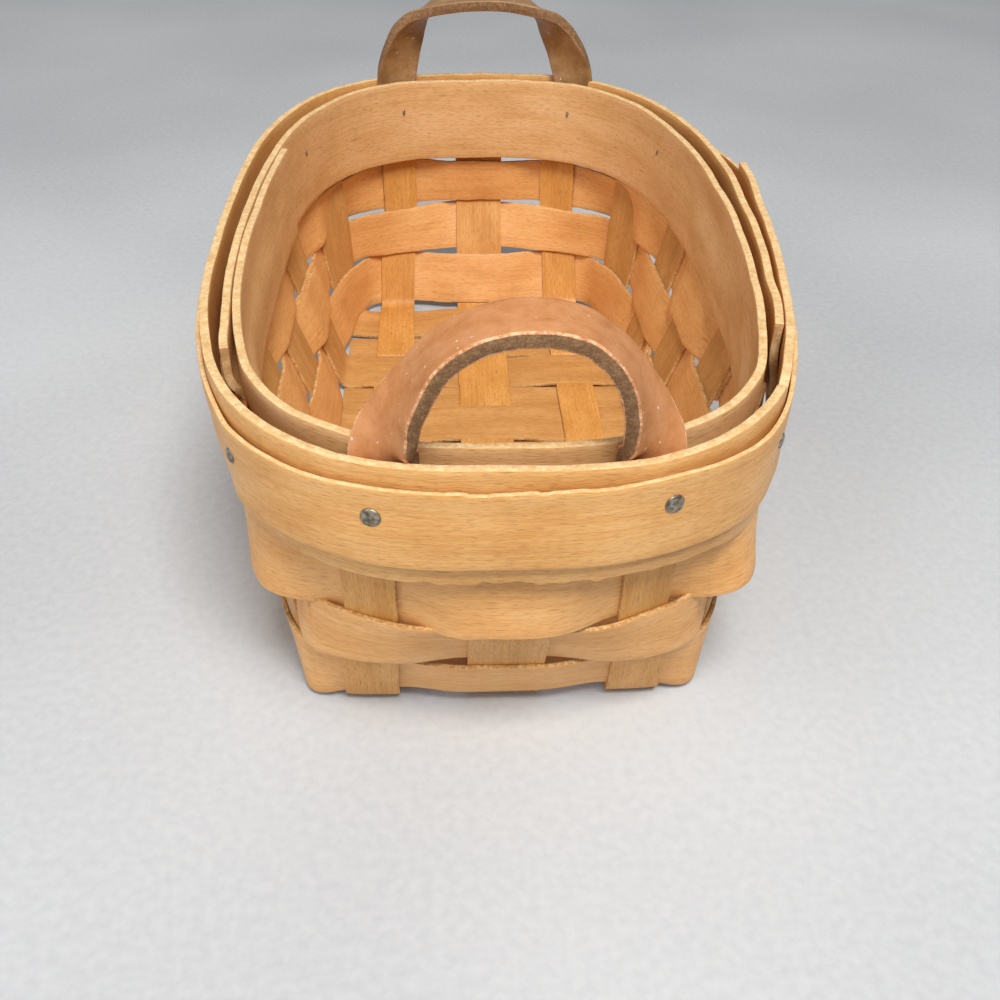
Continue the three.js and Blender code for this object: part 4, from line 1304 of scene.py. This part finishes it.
# the distance round the rim from the front, the height and the radius of the head
tack_rows = [
    ("front_left_ear_tack", -21.1, 59.7, EAR_HEAD),
    ("front_right_ear_tack", 23.9, 60.7, EAR_HEAD),
    ("back_right_ear_tack", 2 * quarter - 28.2, 60.5, EAR_HEAD),
    ("back_left_ear_tack", 2 * quarter + 23.6, 60.5, EAR_HEAD),
    ("front_right_corner_tack", 49.7, 59.5, CORNER_HEAD),
    ("back_right_corner_tack", quarter * 1.451, 60.5, CORNER_HEAD),
    ("back_left_corner_tack", quarter * 2.549, 60.5, CORNER_HEAD),
    ("front_left_corner_tack", 465.7, 58.7, CORNER_HEAD),
]
for node, distance, height, radius in tack_rows:
    tack(node, distance, height, radius)
print(len(tack_rows), "tacks")

# %% [markdown]
# ## Floor
# The basket stands on a pale floor. Seamless paper is plain enough to keep the eye on the
# basket, and it takes a soft shadow. Its clouds and its tooth are faint.

# %% Floor
FLOOR_HALF = 3
# a little below the lowest splint, so that the two never lie in one plane
FLOOR_DROP = 0.0002


def seamless_paper(name):
    made, tree = new_material(name)
    place = add_node(tree, "ShaderNodeTexCoord").outputs["Object"]
    # slow clouds of 150 mm, and the tooth of the paper, drawn at 2 mm so that it shows
    cloud = add_node(
        tree, "ShaderNodeTexNoise", {"Vector": place, "Scale": 6.0, "Detail": 2.0}
    ).outputs["Fac"]
    tooth = add_node(
        tree, "ShaderNodeTexNoise", {"Vector": place, "Scale": 500.0, "Detail": 3.0}
    ).outputs["Fac"]
    tone = add_node(
        tree, "ShaderNodeMath", {0: tooth, 1: 0.5, 2: cloud}, operation="MULTIPLY_ADD"
    ).outputs[0]
    tint = add_node(
        tree,
        "ShaderNodeValToRGB",
        {"Fac": tone},
        stops=[(0.55, colour("#b0b2b4")), (0.95, colour("#c1c3c4"))],
    ).outputs["Color"]
    shader = add_node(
        tree, "ShaderNodeBsdfPrincipled", {"Base Color": tint, "Roughness": 0.85}
    )
    add_node(tree, "ShaderNodeOutputMaterial", {"Surface": shader.outputs[0]})
    return made


ground = bmesh.new()
bmesh.ops.create_grid(ground, x_segments=2, y_segments=2, size=FLOOR_HALF)
ground_mesh = bpy.data.meshes.new("paper")
ground.to_mesh(ground_mesh)
ground.free()
ground_mesh.materials.append(seamless_paper("pale seamless paper"))
floor = bpy.data.objects.new("paper", ground_mesh)
floor.location.z = -FLOOR_DROP
bpy.context.scene.collection.objects.link(floor)
print("a floor of", 2 * FLOOR_HALF, "m each way")

# %% [markdown]
# ## Light
# The photograph seems to be taken in soft daylight that comes from above and a little in front.
# One softbox hangs there, steep enough for the bands to shade the wall under them, a weak light
# on the left opens the shadows, and an even pale sky does the rest. Standard view shows the
# colours as they are mixed.

# %% Light
SKY_STRENGTH = 0.38
BASKET_MIDDLE = (0, 0, 0.03)
world = bpy.data.worlds.new("soft room")
bpy.context.scene.world = world
world.use_nodes = True
world.node_tree.nodes.clear()
sky = add_node(
    world.node_tree, "ShaderNodeBackground", {"Color": colour("#eef1f6"), "Strength": SKY_STRENGTH}
)
add_node(world.node_tree, "ShaderNodeOutputWorld", {"Surface": sky.outputs[0]})


def soft_light(name, place, side, power, tint):
    """A square light that looks at the middle of the basket."""
    data = bpy.data.lights.new(name, "AREA")
    data.shape = "RECTANGLE"
    data.size, data.size_y = side, side
    data.energy = power
    data.color = colour(tint)[:3]
    lamp = bpy.data.objects.new(name, data)
    lamp.location = place
    direction = Vector(BASKET_MIDDLE) - Vector(place)
    lamp.rotation_euler = direction.to_track_quat("-Z", "Y").to_euler()
    bpy.context.scene.collection.objects.link(lamp)
    return lamp


soft_light("front softbox", (0.1, -0.42, 0.83), side=0.34, power=9.0, tint="#fffdfb")
soft_light("left fill", (-0.7, -0.5, 0.5), side=0.6, power=2.5, tint="#fdfcff")
bpy.context.scene.view_settings.view_transform = "Standard"
print("two soft lights and a pale sky")

# %% [markdown]
# ## Camera
# The camera stands where the photograph was taken from: close to the basket, above its front
# end and looking down. Its place, its three angles and its focal length were fitted to the rim,
# the corners of the base and the edges of the rows in the photograph. A camera looks along its
# own -Z axis, so its matrix is built from its right, its top and the reverse of its look.

# %% Camera
YAW, PITCH, ROLL = 0.056, 0.66, 0.019
CAMERA_PLACE = (-9.677, -231.863, 165.722)
PHOTO_PIXELS, FOCAL_PIXELS = 1000, 1083.1
SENSOR_WIDTH = 36.0
look = Vector((math.sin(YAW) * math.cos(PITCH), math.cos(YAW) * math.cos(PITCH), -math.sin(PITCH)))
sideways = Vector((math.cos(YAW), -math.sin(YAW), 0))
above = sideways.cross(look)
right = math.cos(ROLL) * sideways + math.sin(ROLL) * above
top = -math.sin(ROLL) * sideways + math.cos(ROLL) * above
camera_data = bpy.data.cameras.new("camera")
camera_data.sensor_width = SENSOR_WIDTH
camera_data.lens = FOCAL_PIXELS / PHOTO_PIXELS * SENSOR_WIDTH
camera_data.clip_start = 0.01
camera = bpy.data.objects.new("camera", camera_data)
pose = Matrix((right, top, -look)).transposed().to_4x4()
pose.translation = Vector(CAMERA_PLACE) * MM
camera.matrix_world = pose
bpy.context.scene.collection.objects.link(camera)
bpy.context.scene.camera = camera
print("camera at", [round(v, 3) for v in camera.location])
